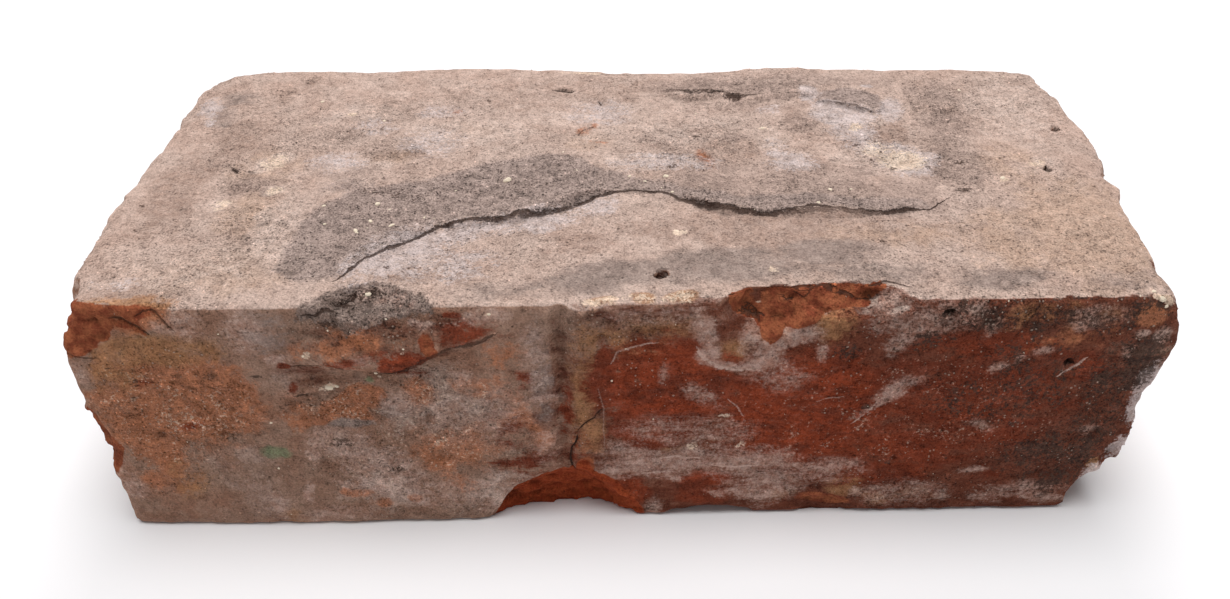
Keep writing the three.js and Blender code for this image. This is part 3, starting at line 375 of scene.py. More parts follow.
# Laps, where a sheet of clay ends in a crisp lower edge: (face, rise, reach, line).
LAPS = [
    ("front", 1.1, 7, [
        (-68, 48.6), (-62, 49.8), (-56, 49.2), (-50, 46.4), (-45, 47.4), (-41, 50), (-38, 52.4),
        (-33, 54.2), (-25, 56.6)]),
    ("front", 0.6, 4, [(-75, 40), (-70, 39.6), (-66, 40.8), (-62, 41.6)]),
    ("top", 0.3, 6, [(54.2, 86.4), (60, 84.6), (64, 83.4), (67, 80.4), (69, 79.6)]),
    ("top", 0.4, 4, [(77, 54.6), (82, 54.2), (87, 55.4)]),
    ("top", 0.4, 4, [(45, 74), (49, 73), (53, 75.6)]),
]

# Lime chips in the skin: (across, up, half length), then a turn in degrees where there is one.
CHIPS = {
    "top": [
        (-25.6, 47.8, 1.2, 70), (-54.5, 37.4, 0.7, 10), (-54.8, 30.1, 0.65, -20),
        (-49.8, 28.3, 0.75, -30), (-57.5, 26.6, 0.7, 80), (-56.9, 25.2, 0.45), (-66.8, 37.2, 0.55),
        (-51.3, 34.8, 0.4), (-43, 31.6, 0.4), (-65, 29.6, 0.4), (12, 48.2, 0.7), (7, 46.4, 0.45),
        (3.4, 48.4, 0.5), (49.8, 41, 0.65, 40), (54.6, 40.9, 0.4), (46, 34.8, 0.5),
        (13.2, 41.4, 0.5, 70), (38, 72.6, 0.55, 60), (91.6, 46.4, 0.75, 40), (-51.2, 5.6, 0.7),
        (-60, 79, 0.5), (-78.6, 90.4, 0.6, 70), (93.8, 92, 0.5),
    ],
    "front": [
        (-47, 60.2, 0.25), (-61.6, 42.1, 1.0, 6), (-59.9, 42.5, 0.5, -10), (-51.2, 45.8, 0.42),
        (-26, 61.4, 0.4), (-44, 54, 0.28), (110.2, 62.6, 0.9, -34), (108.6, 63.7, 0.5, 10),
        (111.4, 61, 0.5, 60), (-81.6, 57.2, 0.22), (1.6, 52, 0.25, 30), (-65, 52, 0.35, 40),
    ],
}

# How each mark meets the clay, in the order they lie: (kind, wander, grain, softness, cover).
# Wander and grain shift its edge by slow and by fine noise.
LAYERS = [
    ("brown", 1.8, 0.6, 0.3, 0.85),
    ("tan", 1.6, 0.6, 0.35, 0.8),
    ("pale", 1.8, 0.7, 0.3, 0.8),
    ("burnt", 1.6, 0.5, 0.3, 1.0),
    ("rust", 2.0, 0.8, 0.22, 0.85),
    ("ochre", 1.5, 0.8, 0.26, 0.8),
    ("red", 2.4, 0.9, 0.24, 0.95),
    ("slate", 1.9, 1.1, 0.4, 0.9),
    ("sandy", 1.6, 1.2, 0.34, 0.85),
    ("crust", 1.2, 1.4, 0.2, 0.85),
    ("scallop", 1.4, 1.8, 0.2, 0.85),
    ("frost", 2.1, 2.2, 0.3, 0.8),
    ("veil", 2.3, 2.0, 0.56, 0.7),
    ("torn", 0.6, 0.6, 0.12, 1.0),
    ("raw", 0.6, 0.6, 0.2, 1.0),
    ("soot", -1.6, -2.4, 0.2, 0.85),
    ("cream", 1.4, 2.2, 0.2, 0.8),
    ("green", 0.8, 0.8, 0.3, 0.6),
]

# The shades of the clay: what each one is, and its colour. A mark has a plain and a deep shade.
SHADES = {
    "top": ("Dusty clay of the top", (0.49, 0.355, 0.297)),
    "top_warm": ("Browner clay of the top", (0.48, 0.333, 0.272)),
    "top_pale": ("Paler clay of the top", (0.52, 0.393, 0.336)),
    "side": ("Grey-brown clay of the sides", (0.283, 0.162, 0.113)),
    "side_warm": ("Browner clay of the sides", (0.312, 0.159, 0.104)),
    "side_grey": ("Greyer clay of the sides", (0.313, 0.208, 0.157)),
    "header": ("Pinkish clay of the ends", (0.47, 0.31, 0.24)),
    "brown": ("Browner patches", (0.405, 0.285, 0.235), (0.355, 0.238, 0.19)),
    "tan": ("Warm patches", (0.51, 0.352, 0.268), (0.455, 0.303, 0.225)),
    "pale": ("Paler patches", (0.61, 0.465, 0.40), (0.53, 0.39, 0.328)),
    "burnt": ("Dark brown firing colour", (0.168, 0.052, 0.03), (0.11, 0.033, 0.019)),
    "rust": ("Orange-brown stain", (0.46, 0.174, 0.084), (0.38, 0.15, 0.079)),
    "ochre": ("Olive-ochre stain", (0.40, 0.2, 0.095), (0.34, 0.163, 0.08)),
    "red": ("Burnt red clay", (0.285, 0.052, 0.02), (0.16, 0.036, 0.018)),
    "slate": ("Bluish-grey smear", (0.312, 0.236, 0.204), (0.235, 0.173, 0.149)),
    "sandy": ("Thin gritty skin", (0.43, 0.31, 0.262), (0.35, 0.252, 0.213)),
    "crust": ("Gritty skin", (0.415, 0.312, 0.275), (0.33, 0.247, 0.217)),
    "scallop": ("Worn grey edge", (0.28, 0.208, 0.178), (0.16, 0.113, 0.094)),
    "frost": ("Whitish salt bloom", (0.60, 0.50, 0.482), (0.49, 0.39, 0.36)),
    "veil": ("Pinkish-white veil on the sides", (0.62, 0.44, 0.37), (0.44, 0.262, 0.203)),
    "cream": ("Lime spots", (0.80, 0.62, 0.48), (0.66, 0.49, 0.37)),
    "green": ("Green stain", (0.14, 0.24, 0.12), (0.13, 0.18, 0.10)),
    "soot": ("Dark dirt", (0.095, 0.056, 0.042), (0.05, 0.034, 0.028)),
    "torn": ("Broken clay", (0.315, 0.1, 0.046), (0.205, 0.052, 0.026)),
    "raw": ("Redder clay in the notch", (0.31, 0.062, 0.022), (0.225, 0.038, 0.014)),
    "fleck_light": ("Light sand", (0.62, 0.465, 0.37)),
    # The painted shade of the dark lines, in cracks and pores and at the foot of steps.
    "crack": ("Inside of cracks", (0.055, 0.03, 0.022)),
    "lime": ("Lime grains", (0.80, 0.68, 0.53)),
}

# Where the skin thins out under the hump of its front line: the middle and reach of that place, and
# the height of the clay below it. PRESSED is the share of the step that goes there.
HUMP = (7.5, 42)
HUMP_REACH = (13, 12)
SKIN_FOOT = 64.2
PRESSED = 0.85

# A mark that wraps over the front edge spreads below ARRIS_TOP and behind ARRIS_DEPTH, where the
# edge is broken. Below TOP_REACH only its outline on the front counts.
ARRIS_TOP = 64.8
ARRIS_DEPTH = 1.4
TOP_REACH = 58

# The height below which the bed keeps only a share of its relief, and that share.
NEAR_BED = 4
BED_SHARE = 0.2

WELD = 1e-6  # points nearer than this, in metres, are one
HIDDEN_LEVELS = 10  # steps in how much the unseen faces are thinned
LINE_REACH = 1.4  # how far from a line its width is written
FAR = 1e9  # further than anything on the brick
BUMP_HEIGHT = 0.0006  # metres

# Where the camera stands, in the brick's own measures, and the tint of the light all round.
CAMERA_PLACE = (-1.27, -163.10, 189.41)
SKY_TINT = (0.97, 0.98, 1.0)


# ---- Fields over the surface ----------------------------------------------------------------


def ramp(low, high, value):
    """A smooth step: 0 below low, 1 above high."""
    share = np.clip((value - low) / (high - low), 0, 1)
    return share * share * (3 - 2 * share)


def hashed(cell, seed):
    """A fixed pseudo-random number from -1 to 1 for each whole-number cell."""
    x, y, z = (cell * (73856093, 19349663, 83492791)).T
    mixed = x ^ y ^ z ^ seed * 2971215073
    mixed = (mixed ^ (mixed >> 13)) * 1274126177 & 0x7FFFFFFF
    return ((mixed ^ (mixed >> 15)) & 0xFFFF) / 32767.5 - 1


def waves(points, size, seed, octaves=1):
    """Smooth random waves, about -1 to 1, as long as size (one number, or one for each axis)."""
    total, weight = np.zeros(len(points)), 1.0
    for octave in range(octaves):
        spot = points / size * 2**octave + 17.3 * octave
        cell = np.floor(spot).astype(np.int64)
        share = spot - cell
        share = share * share * share * (share * (6 * share - 15) + 10)
        for corner in itertools.product((0, 1), repeat=3):
            near = np.where(corner, share, 1 - share)
            total += weight * near.prod(axis=1) * hashed(cell + corner, seed + octave)
        weight *= 0.5
    return total


def segments(line, closed=False):
    """Each pair of neighbours in the line."""
    ends = line[1:] + line[:1] if closed else line[1:]
    return list(zip(line, ends))


def across_segment(spots, x0, y0, way, square):
    """For each spot: its share of the way along a segment, and its offset from that place."""
    share = ((spots[:, 0] - x0) * way[0] + (spots[:, 1] - y0) * way[1]) / square
    share = np.clip(share, 0, 1)
    return share, spots[:, 0] - x0 - share * way[0], spots[:, 1] - y0 - share * way[1]


def beside(spots, line):
    """For each spot: how far left of the line it is, and the line's share and width there."""
    nearest = np.full(len(spots), FAR)
    side, along, width = np.zeros((3, len(spots)))
    walked, total = 0.0, sum(math.dist(a[:2], b[:2]) for a, b in segments(line))
    for (x0, y0, from_width), (x1, y1, to_width) in segments(line):
        way = np.array((x1 - x0, y1 - y0), float)
        length = math.hypot(*way)
        share, dx, dy = across_segment(spots, x0, y0, way, length**2)
        distance = np.hypot(dx, dy)
        closer = distance < nearest
        nearest = np.where(closer, distance, nearest)
        side = np.where(closer, np.sign(way[0] * dy - way[1] * dx) * distance, side)
        along = np.where(closer, (walked + share * length) / total, along)
        width = np.where(closer, from_width + share * (to_width - from_width), width)
        walked += length
    return side, along, width


def inside(spots, outline):
    """The distance of each spot from the outline, positive inside it."""
    nearest = np.full(len(spots), FAR)
    within = np.zeros(len(spots), bool)
    for (x0, y0), (x1, y1) in segments(outline, closed=True):
        way = np.array((x1 - x0, y1 - y0), float)
        _, dx, dy = across_segment(spots, x0, y0, way, way @ way)
        nearest = np.minimum(nearest, np.hypot(dx, dy))
        crosses = (y0 > spots[:, 1]) != (y1 > spots[:, 1])
        run = (x1 - x0) * (spots[:, 1] - y0) / ((y1 - y0) or 1 / FAR) + x0
        within ^= crosses & (spots[:, 0] < run)
    return np.where(within, nearest, -nearest)


def tapered(along, taper):
    """1 in the middle of a line, falling to 0 over the taper, a share of it, at either end."""
    return ramp(0, taper, along) * (1 - ramp(1 - taper, 1, along))


class Surface:
    """The points of a mesh in the brick's own measures, and which way each one faces."""

    def __init__(self, mesh):
        count = len(mesh.vertices)
        corners, normals = np.empty(count * 3), np.empty(count * 3)
        mesh.vertices.foreach_get("co", corners)
        mesh.vertex_normals.foreach_get("vector", normals)
        self.points = corners.reshape(-1, 3) / MM + START
        self.normals = normals.reshape(-1, 3)
        x, depth, z = self.points.T
        from_middle = np.abs(x)
        # The upright corners belong to the front, and all that is well inside the top's edges to
        # the top, whichever way a rough spot there faces.
        rough_depth = depth + 1.5 * waves(self.points, 4, 65)
        corner = ramp(109, 112, from_middle) * ramp(5.5, 2.5, rough_depth)
        corner *= self.normals[:, 2] < 0.6
        inland = ramp(11, 14, depth) * (1 - ramp(98, 101, depth))
        inland *= 1 - ramp(104, 108, from_middle)
        front = np.maximum(ramp(0.15, 0.5, -self.normals[:, 1]), corner)
        top = np.maximum(ramp(0.3, 0.7, self.normals[:, 2]), inland)
        self.facing = {"front": front * (depth < 20) * (1 - inland), "top": top * ramp(56, 60, z)}
        near = [0.2 * waves(self.points, 2.2, seed) for seed in (61, 62)]
        far = [0.7 * waves(self.points, 5.5, seed, 2) for seed in (63, 64)]
        flat = {"front": (x, z), "top": (x, depth)}
        self.lines = {face: np.stack(spot, 1) + np.stack(near, 1) for face, spot in flat.items()}
        self.spots = {face: spot + np.stack(far, 1) for face, spot in self.lines.items()}

    def outlined(self, kind):
        """The amount of a kind of outlined mark: 0.5 on its outline, 1 inside and 0 outside."""
        total = np.zeros(len(self.points))
        _, depth, z = self.points.T
        for name, soft, reach, *outlines in OUTLINES:
            if name != kind:
                continue
            drawn = {face: line for face, line in zip(("front", "top"), outlines) if line}
            sides = [inside(self.spots[face], line) for face, line in drawn.items()]
            facing = 1
            if len(drawn) == 2:
                sides[0] += reach * np.clip(depth - ARRIS_DEPTH, 0, 1)
                sides[1] += reach * np.clip(ARRIS_TOP - z, 0, 1)
                sides[1] += 30 * (z < TOP_REACH)
                deepest = np.where(z < 30, 14, 8 + 3 * waves(self.points, 6, 66, 2))
                sides.append(deepest - depth)
            else:
                facing = self.facing[next(iter(drawn))]
            mark = np.clip(0.5 + np.min(sides, axis=0) / soft, 0, 1)
            total = np.maximum(total, mark * facing)
        return total

    def amount(self, kind):
        """How strong a kind of mark is, from 0 to 1 and a little over."""
        total = self.outlined(kind)
        for face, kinds in MARKS.items():
            spots = self.spots[face]
            for across, up, half_across, half_up, strength, *turned in kinds.get(kind, ()):
                turn = math.radians(sum(turned))
                cos, sin = math.cos(turn), math.sin(turn)
                dx, dy = spots[:, 0] - across, spots[:, 1] - up
                u, v = (dx * cos + dy * sin) / half_across, (dy * cos - dx * sin) / half_up
                mark = strength * np.clip(1 - 0.5 * (u * u + v * v), 0, 1)
                total = np.maximum(total, mark * self.facing[face])
        return total

    def torn(self):
        """Where the clay is broken open."""
        kinds = self.outlined("torn"), self.outlined("raw"), self.amount("fresh")
        return np.maximum.reduce(kinds)

    def elsewhere(self):
        """1 on the faces without marks of their own: the back, the headers and the bed."""
        return (1 - self.facing["front"]) * (1 - self.facing["top"])


def neighbour_mean(values, edges, links):
    """The mean of each point's neighbours."""
    summed = [
        np.bincount(edges[:, 0], values[edges[:, 1], axis], len(values))
        + np.bincount(edges[:, 1], values[edges[:, 0], axis], len(values))
        for axis in range(3)
    ]
    return np.stack(summed, 1) / links[:, None]


def hollows(mesh, surface, rounds):
    """How far each point lies below (or, negative, above) its smoothed surroundings."""
    edges = np.empty(len(mesh.edges) * 2, np.int64)
    mesh.edges.foreach_get("vertices", edges)
    edges = edges.reshape(-1, 2)
    links = np.bincount(edges.ravel(), minlength=len(surface.points)).clip(1)
    smooth = surface.points.copy()
    for _ in range(rounds):
        smooth = neighbour_mean(smooth, edges, links)
    return ((smooth - surface.points) * surface.normals).sum(axis=1)


# ---- The brick's mesh -----------------------------------------------------------------------


def add_object(name, mesh):
    """Adds an object to the scene."""
    piece = bpy.data.objects.new(name, mesh)
    bpy.context.scene.collection.objects.link(piece)
    return piece


def settle(piece):
    """Bakes the piece's modifiers into its mesh."""
    graph = bpy.context.evaluated_depsgraph_get()
    mesh = bpy.data.meshes.new_from_object(piece.evaluated_get(graph))
    rough = piece.data
    piece.modifiers.clear()
    piece.data = mesh
    bpy.data.meshes.remove(rough)


def set_points(mesh, points):
    """Puts points, in the brick's own measures, back into the mesh, and none below the bed."""
    points[:, 2] = points[:, 2].clip(0)
    mesh.vertices.foreach_set("co", ((points - START) * MM).ravel())
    mesh.update()


def grit(surface):
    """How coarse the surface is: 1 on plain brick, up to 2.6 on the gritty skin."""
    smooth = np.maximum(surface.amount("slate"), ramp(0.6, 1.0, surface.amount("frost")))
    spread = 1 + 0.35 * waves(surface.points, 22, 31) + 0.3 * waves(surface.points, 7, 33)
    skin = ramp(0.3, 0.7, surface.amount("crust"))
    coarse = spread * (1 - 0.25 * smooth) + 0.9 * skin + 1.2 * surface.outlined("scallop")
    coarse += 0.9 * ramp(0.2, 0.9, surface.amount("gritty"))
    return (coarse * (1 - 0.4 * surface.torn())).clip(0.25, 2.6)


def pit_depths(surface, count, seed):
    """Small pores, scattered over the whole surface."""
    chance = np.random.default_rng(seed)
    depth = np.zeros(len(surface.points))
    centres = surface.points[chance.choice(len(surface.points), count, replace=False)]
    for centre, size in zip(centres, 0.3 + 0.4 * chance.random(count) ** 3):
        near = np.abs(surface.points - centre).max(axis=1) < 2.2 * size
        gap = np.linalg.norm(surface.points[near] - centre, axis=1)
        depth[near] = np.maximum(depth[near], 0.8 * size * (1 - ramp(0.3, 1.7, gap / size)))
    return depth


def press_down(points):
    """Thins the skin on the top to almost nothing where its front line humps."""
    away = np.hypot(*((points[:, :2] - HUMP) / HUMP_REACH).T)
    over = (points[:, 2] - SKIN_FOOT).clip(0)
    points[:, 2] -= PRESSED * (1 - ramp(0.45, 1.0, away)) * over
    return points


def rise(surface, settings):
    """How far each point moves outwards, in millimetres."""
    points, normals = surface.points, surface.normals
    coarse = grit(surface) * settings.grit
    broken = ramp(0.35, 0.65, surface.torn())
    header = ramp(0.5, 0.9, np.abs(normals[:, 0]))
    out = settings.waves * waves(points, 13, 1, 2)
    out += 0.16 * coarse * waves(points, 4.2, 5, 2)
    out += 0.17 * coarse * waves(points, 1.9, 9)
    out += header * (0.5 * waves(points, 7, 12, 2) + 0.3 * waves(points, 2.4, 14))
    out += 0.34 * broken * waves(points, (5, 3, 2.8), 21, 3)
    out -= 0.45 * broken * ramp(0.5, 0.9, waves(points, (4, 2, 2), 23) + 0.3)
    out -= pit_depths(surface, settings.pores, 7)
    for face, _, depth, line in LINES:
        side, along, width = beside(surface.lines[face], line)
        groove = 1 - ramp(0.1, 0.7 + width, np.abs(side))
        out -= depth * tapered(along, 0.12) * groove * surface.facing[face]
    for face, lift, reach, line in LAPS:
        side, along, _ = beside(surface.lines[face], [(*spot, 0) for spot in line])
        above = ramp(-0.3, 0.3, side) * (1 - ramp(0.2 * reach, reach, side))
        out += lift * tapered(along, 0.2) * above * surface.facing[face]
    on_bed = ramp(0.5, 0.9, -normals[:, 2]) * (points[:, 2] < NEAR_BED)
    return out * (1 - (1 - BED_SHARE) * on_bed)


def store(mesh, **named):
    """Writes values into the mesh, as attributes of its points."""
    for name, values in named.items():
        attribute = mesh.attributes.new(name, "FLOAT", "POINT")
        attribute.data.foreach_set("value", np.asarray(values, np.float32))


def store_lines(mesh, surface):
    """Writes the nearest line's side, width and darkness, so thin lines stay crisp."""
    count = len(surface.points)
    nearest, thick, dark = np.full(count, 3.0), np.zeros(count), np.zeros(count)
    for face, darkness, _, line in LINES:
        side, along, width = beside(surface.lines[face], line)
        closer = (np.abs(side) < np.abs(nearest)) & (surface.facing[face] > 0.3)
        nearest = np.where(closer, side, nearest)
        shown = width * tapered(along, 0.06) * (np.abs(side) < LINE_REACH)
        thick = np.where(closer, shown, thick)
        dark = np.where(closer, darkness, dark)
    store(mesh, line_side=nearest, line_width=thick, line_dark=dark)


def store_marks(mesh):
    """Writes every mark's amount into the mesh, for the material to read."""
    surface = Surface(mesh)
    points, normals = surface.points, surface.normals
    hidden = surface.elsewhere()
    back = ramp(0.3, 0.7, normals[:, 1]) * hidden
    bed = ramp(0.3, 0.7, -normals[:, 2]) * hidden
    broad, middle = waves(points, 34, 41, 2), waves(points, 15, 43, 2)
    added = {
        "burnt": back * (0.55 + 0.5 * broad) + (hidden - back) * 0.3 * (1 + middle),
        "rust": hidden * (0.45 + 0.3 * middle),
        "red": hidden * (0.3 + 0.4 * broad) + 0.2 * back,
        "veil": hidden * (0.4 + 0.35 * waves(points, 19, 47, 2)),
        "soot": hidden * (0.12 + 0.32 * waves(points, 26, 49, 2)),
        "pale": hidden * (0.4 + 0.4 * waves(points, 20, 51, 2)),
    }
    for kind in sorted({*FRONT_MARKS, *TOP_MARKS} - {"gritty", "fresh"}):
        store(mesh, **{kind: np.maximum(surface.amount(kind), added.get(kind, 0.0))})
    store(
        mesh, scallop=surface.outlined("scallop"), torn=surface.torn(), raw=surface.outlined("raw"),
        dust=np.maximum(surface.facing["top"], 0.8 * bed),
        header=ramp(0.4, 0.8, np.abs(normals[:, 0])) * hidden, grit=grit(surface),
        # hollow: how deep each point lies in a hollow, for the painted shade there
        seen=(1 - 0.6 * hidden) * (points[:, 2] > 0.6), hollow=hollows(mesh, surface, 6),
    )
    store_lines(mesh, surface)


def welded_copy(source):
    """A copy of the object's mesh, with its doubles merged."""
    mesh = source.data.copy()
    bm = bmesh.new()
    bm.from_mesh(mesh)
    bmesh.ops.remove_doubles(bm, verts=bm.verts, dist=WELD)
    bm.to_mesh(mesh)
    bm.free()
    mesh.materials.clear()
    return mesh


def shape_brick(source, settings):
    """The brick with its fine relief, as a new piece."""
    piece = add_object("clay_brick", welded_copy(source))
    remesh = piece.modifiers.new("Even faces", "REMESH")
    remesh.mode = "VOXEL"
    remesh.voxel_size = settings.cell
    settle(piece)
    surface = Surface(piece.data)
    shifted = surface.points + surface.normals * rise(surface, settings)[:, None]
    set_points(piece.data, press_down(shifted))
    thinned = piece.vertex_groups.new(name="thinned")
    hidden = ramp(0.3, 0.8, Surface(piece.data).elsewhere())
    for level in range(HIDDEN_LEVELS + 1):
        picked = np.flatnonzero(np.round(hidden * HIDDEN_LEVELS) == level)
        thinned.add(picked.tolist(), 0.1 + 0.09 * level, "REPLACE")
    decimate = piece.modifiers.new("Fewer faces", "DECIMATE")
    decimate.ratio = min(1.0, settings.triangles / (2 * len(piece.data.polygons)))
    decimate.vertex_group = "thinned"
    decimate.use_collapse_triangulate = True
    settle(piece)
    set_points(piece.data, Surface(piece.data).points)
    piece.vertex_groups.clear()
    piece.data.polygons.foreach_set("use_smooth", [True] * len(piece.data.polygons))
    store_marks(piece.data)
    return piece


# ---- Nodes ----------------------------------------------------------------------------------

# Sockets that share a name, by number: those of a colour mix, and the ends of a random value.
MIX_SHARE, MIX_FIRST, MIX_SECOND, MIX_COLOUR = 0, 6, 7, 2
LOW_VECTOR, HIGH_VECTOR, LOW_NUMBER, HIGH_NUMBER = range(4)


def node(tree, kind, inputs=None, **options):
    """Adds a node, sets its options, and fills or links its inputs."""
    made = tree.nodes.new(kind)
    for name, value in options.items():
        setattr(made, name, value)
    for name, value in (inputs or {}).items():
        socket = made.inputs[name]
        if isinstance(value, bpy.types.NodeSocket):
            tree.links.new(value, socket)
        else:
            socket.default_value = value
    return made


def linked(kind, inputs, **options):
    """Adds a node to the tree that its linked inputs come from."""
    sockets = (value for value in inputs.values() if isinstance(value, bpy.types.NodeSocket))
    return node(next(sockets).id_data, kind, inputs, **options)


def maths(operation, *values):
    return linked("ShaderNodeMath", dict(enumerate(values)), operation=operation).outputs[0]


def times(first, second):
    return maths("MULTIPLY", first, second)


def less(first, second):
    return maths("SUBTRACT", first, second)


def plus(*values):
    """The sum of (weight, value) pairs."""
    total = times(values[0][1], values[0][0])
    for weight, value in values[1:]:
        total = maths("MULTIPLY_ADD", value, weight, total)
    return total


def blend(share, first, second):
    """Mixes two colours."""
    colours = {MIX_SHARE: share, MIX_FIRST: first, MIX_SECOND: second}
    return linked("ShaderNodeMix", colours, data_type="RGBA").outputs[MIX_COLOUR]


def brighten(base, by):
    """Multiplies a colour or vector by a number."""
    return linked("ShaderNodeVectorMath", {0: base, "Scale": by}, operation="SCALE").outputs[0]


def step(value, low, high, to_low=0.0, to_high=1.0):
    """A smooth step from to_low at low to to_high at high."""
    ends = {"From Min": low, "From Max": high, "To Min": to_low, "To Max": to_high}
    inputs = {"Value": value, **ends}
    return linked("ShaderNodeMapRange", inputs, interpolation_type="SMOOTHSTEP").outputs[0]


def noise(place, size, detail, roughness):
    """Noise whose waves are about as long as size, in millimetres."""
    shape = {"Scale": 1 / (size * MM), "Detail": detail, "Roughness": roughness}
    return linked("ShaderNodeTexNoise", {"Vector": place, **shape}).outputs["Fac"]


def sway(place, size, detail, roughness):
    """Noise that swings about 0."""
    return less(noise(place, size, detail, roughness), 0.5)


def drawn_out(place, squeeze):
    """Places squeezed along x, which draws a texture out."""
    return linked("ShaderNodeMapping", {"Vector": place, "Scale": (squeeze, 1, 1)}).outputs[0]


def specks(place, cell, share, radius, seed):
    """Round specks: cell and radius in millimetres, and the share of the cells that hold one."""
    shifted = linked("ShaderNodeVectorMath", {0: place, 1: (seed * 0.1,) * 3}).outputs[0]
    cells = linked("ShaderNodeTexVoronoi", {"Vector": shifted, "Scale": 1 / (cell * MM)}).outputs
    pick = linked("ShaderNodeSeparateColor", {"Color": cells["Color"]}).outputs
    picked = maths("LESS_THAN", pick[0], share)
    size = maths("MULTIPLY_ADD", pick[1], 0.8 * radius / cell, 0.6 * radius / cell)
    away = maths("DIVIDE", cells["Distance"], size)
    return times(picked, step(away, 0.7, 1.15, 1.0, 0.0))


def read(tree, name):
    return node(tree, "ShaderNodeAttribute", attribute_name=name).outputs["Fac"]


def object_place(tree):
    return node(tree, "ShaderNodeTexCoord").outputs["Object"]


def new_group(kind, name, inputs, outputs, **defaults):
    """A group with its sockets as {name: kind of socket}; defaults are what inputs start from."""
    tree = bpy.data.node_groups.new(name, kind + "NodeTree")
    for way, sockets in (("INPUT", inputs), ("OUTPUT", outputs)):
        for label, data in sockets.items():
            tree.interface.new_socket(label, in_out=way, socket_type="NodeSocket" + data)
    for label, value in defaults.items():
        tree.interface.items_tree[label].default_value = value
    start = tree.nodes.new("NodeGroupInput").outputs
    end = tree.nodes.new("NodeGroupOutput").inputs
    return tree, start, end


def use_group(tree, group, inputs=None):
    return node(tree, "ShaderNodeGroup", inputs, node_tree=group).outputs


def floats(*names):
    return dict.fromkeys(names, "Float")


# ---- Materials ------------------------------------------------------------------------------


def ragged_edge_group():
    """Turns a mark's amount into a mask with a wandering, grainy edge."""
    labels = floats("Amount", "Wander", "Grain", "Softness")
    tree, start, end = new_group("Shader", "Ragged Edge", labels, floats("Mask"), Softness=0.1)
    amount, softness = start["Amount"], start["Softness"]
    ragged = maths("ADD", start["Wander"], start["Grain"])
    ragged = times(ragged, step(amount, 0.0, 0.35, 0.3, 1.0))
    value = maths("ADD", amount, ragged)
    low, high = less(0.5, softness), maths("ADD", 0.5, softness)
    tree.links.new(step(value, low, high), end["Mask"])
    return tree


def sandy_grain_group():
    """The sand in the clay: its tone, its pits and light grains, and its height."""
    made = floats("Tone", "Pits", "Light Grains", "Height")
    tree, start, end = new_group(
        "Shader", "Sandy Grain", floats("Coarseness"), made, Coarseness=1.0
    )
    coarseness = start["Coarseness"]
    place = object_place(tree)
    bend = linked("ShaderNodeTexNoise", {"Vector": place, "Scale": 1 / (0.6 * MM), "Detail": 1.0})
    bent = linked(
        "ShaderNodeVectorMath", {0: bend.outputs["Color"], 1: (0.3 * MM,) * 3, 2: place},
        operation="MULTIPLY_ADD",
    ).outputs[0]
    fine = noise(place, 0.42, 2.0, 0.6)
    medium = noise(place, 1.3, 3.0, 0.6)
    coarse = noise(place, 4.5, 4.0, 0.62)
    tone = less(plus((0.75, fine), (0.45, medium), (0.36, coarse)), 0.28)
    crowd = step(noise(place, 11, 3.0, 0.6), 0.4, 0.64, 0.25, 1.6)
    dense = times(crowd, coarseness)
    small = specks(bent, 1.3, times(dense, 0.13), 0.17, 1)
    middling = specks(bent, 3.6, times(dense, 0.09), 0.32, 2)
    pits = maths("MAXIMUM", small, middling)
    pores = times(step(plus((0.7, fine), (0.3, medium)), 0.4, 0.32), 0.28)
    pits = maths("MAXIMUM", pits, times(pores, coarseness))
    light_share = maths("MULTIPLY_ADD", coarseness, 0.36, -0.28)
    light = specks(bent, 0.9, times(light_share, crowd), 0.2, 3)
    height = plus((0.7, fine), (0.7, medium), (-0.8, pits), (0.3, light))
    height = times(height, coarseness)
    for label, value in zip(made, (tone, pits, light, height)):
        tree.links.new(value, end[label])
    return tree


def colour(values):
    return (*values, 1.0)


def plain_clay(tree, shade, place, dusty):
    """The clay under the marks; the top is dusty."""
    broad = step(noise(place, 26, 4.0, 0.6), 0.36, 0.64)
    blotch = step(noise(place, 9, 5.0, 0.68), 0.38, 0.62)
    side = blend(broad, shade("side"), shade("side_warm"))
    side = blend(times(blotch, 0.6), side, shade("side_grey"))
    side = blend(read(tree, "header"), side, blend(blotch, shade("header"), side))
    top = blend(broad, shade("top"), shade("top_warm"))
    top = blend(times(blotch, 0.5), top, shade("top_pale"))
    return blend(dusty, side, top)


def sanded(tree, base, grain, dusty, light):
    """The colour with the grain's tone, pits and light grains, and painted shade in its hollows."""
    swing = maths("MULTIPLY_ADD", read(tree, "grit"), 0.75, 1.2)
    swing = times(swing, maths("MULTIPLY_ADD", dusty, 0.2, 1.0))
    swing = times(less(grain["Tone"], 0.5), swing)
    base = brighten(base, maths("ADD", swing, 1.0))
    # Painted shade in the pits.
    base = blend(times(grain["Pits"], 0.75), base, brighten(base, 0.3))
    base = blend(times(grain["Light Grains"], 0.5), base, light)
    # Painted shade in the hollows; proud spots are made lighter.
    hollow = step(read(tree, "hollow"), 0.05, 0.45, 1.0, 0.55)
    proud = step(read(tree, "hollow"), -0.1, -0.4, 1.0, 1.2)
    return brighten(base, times(hollow, proud))


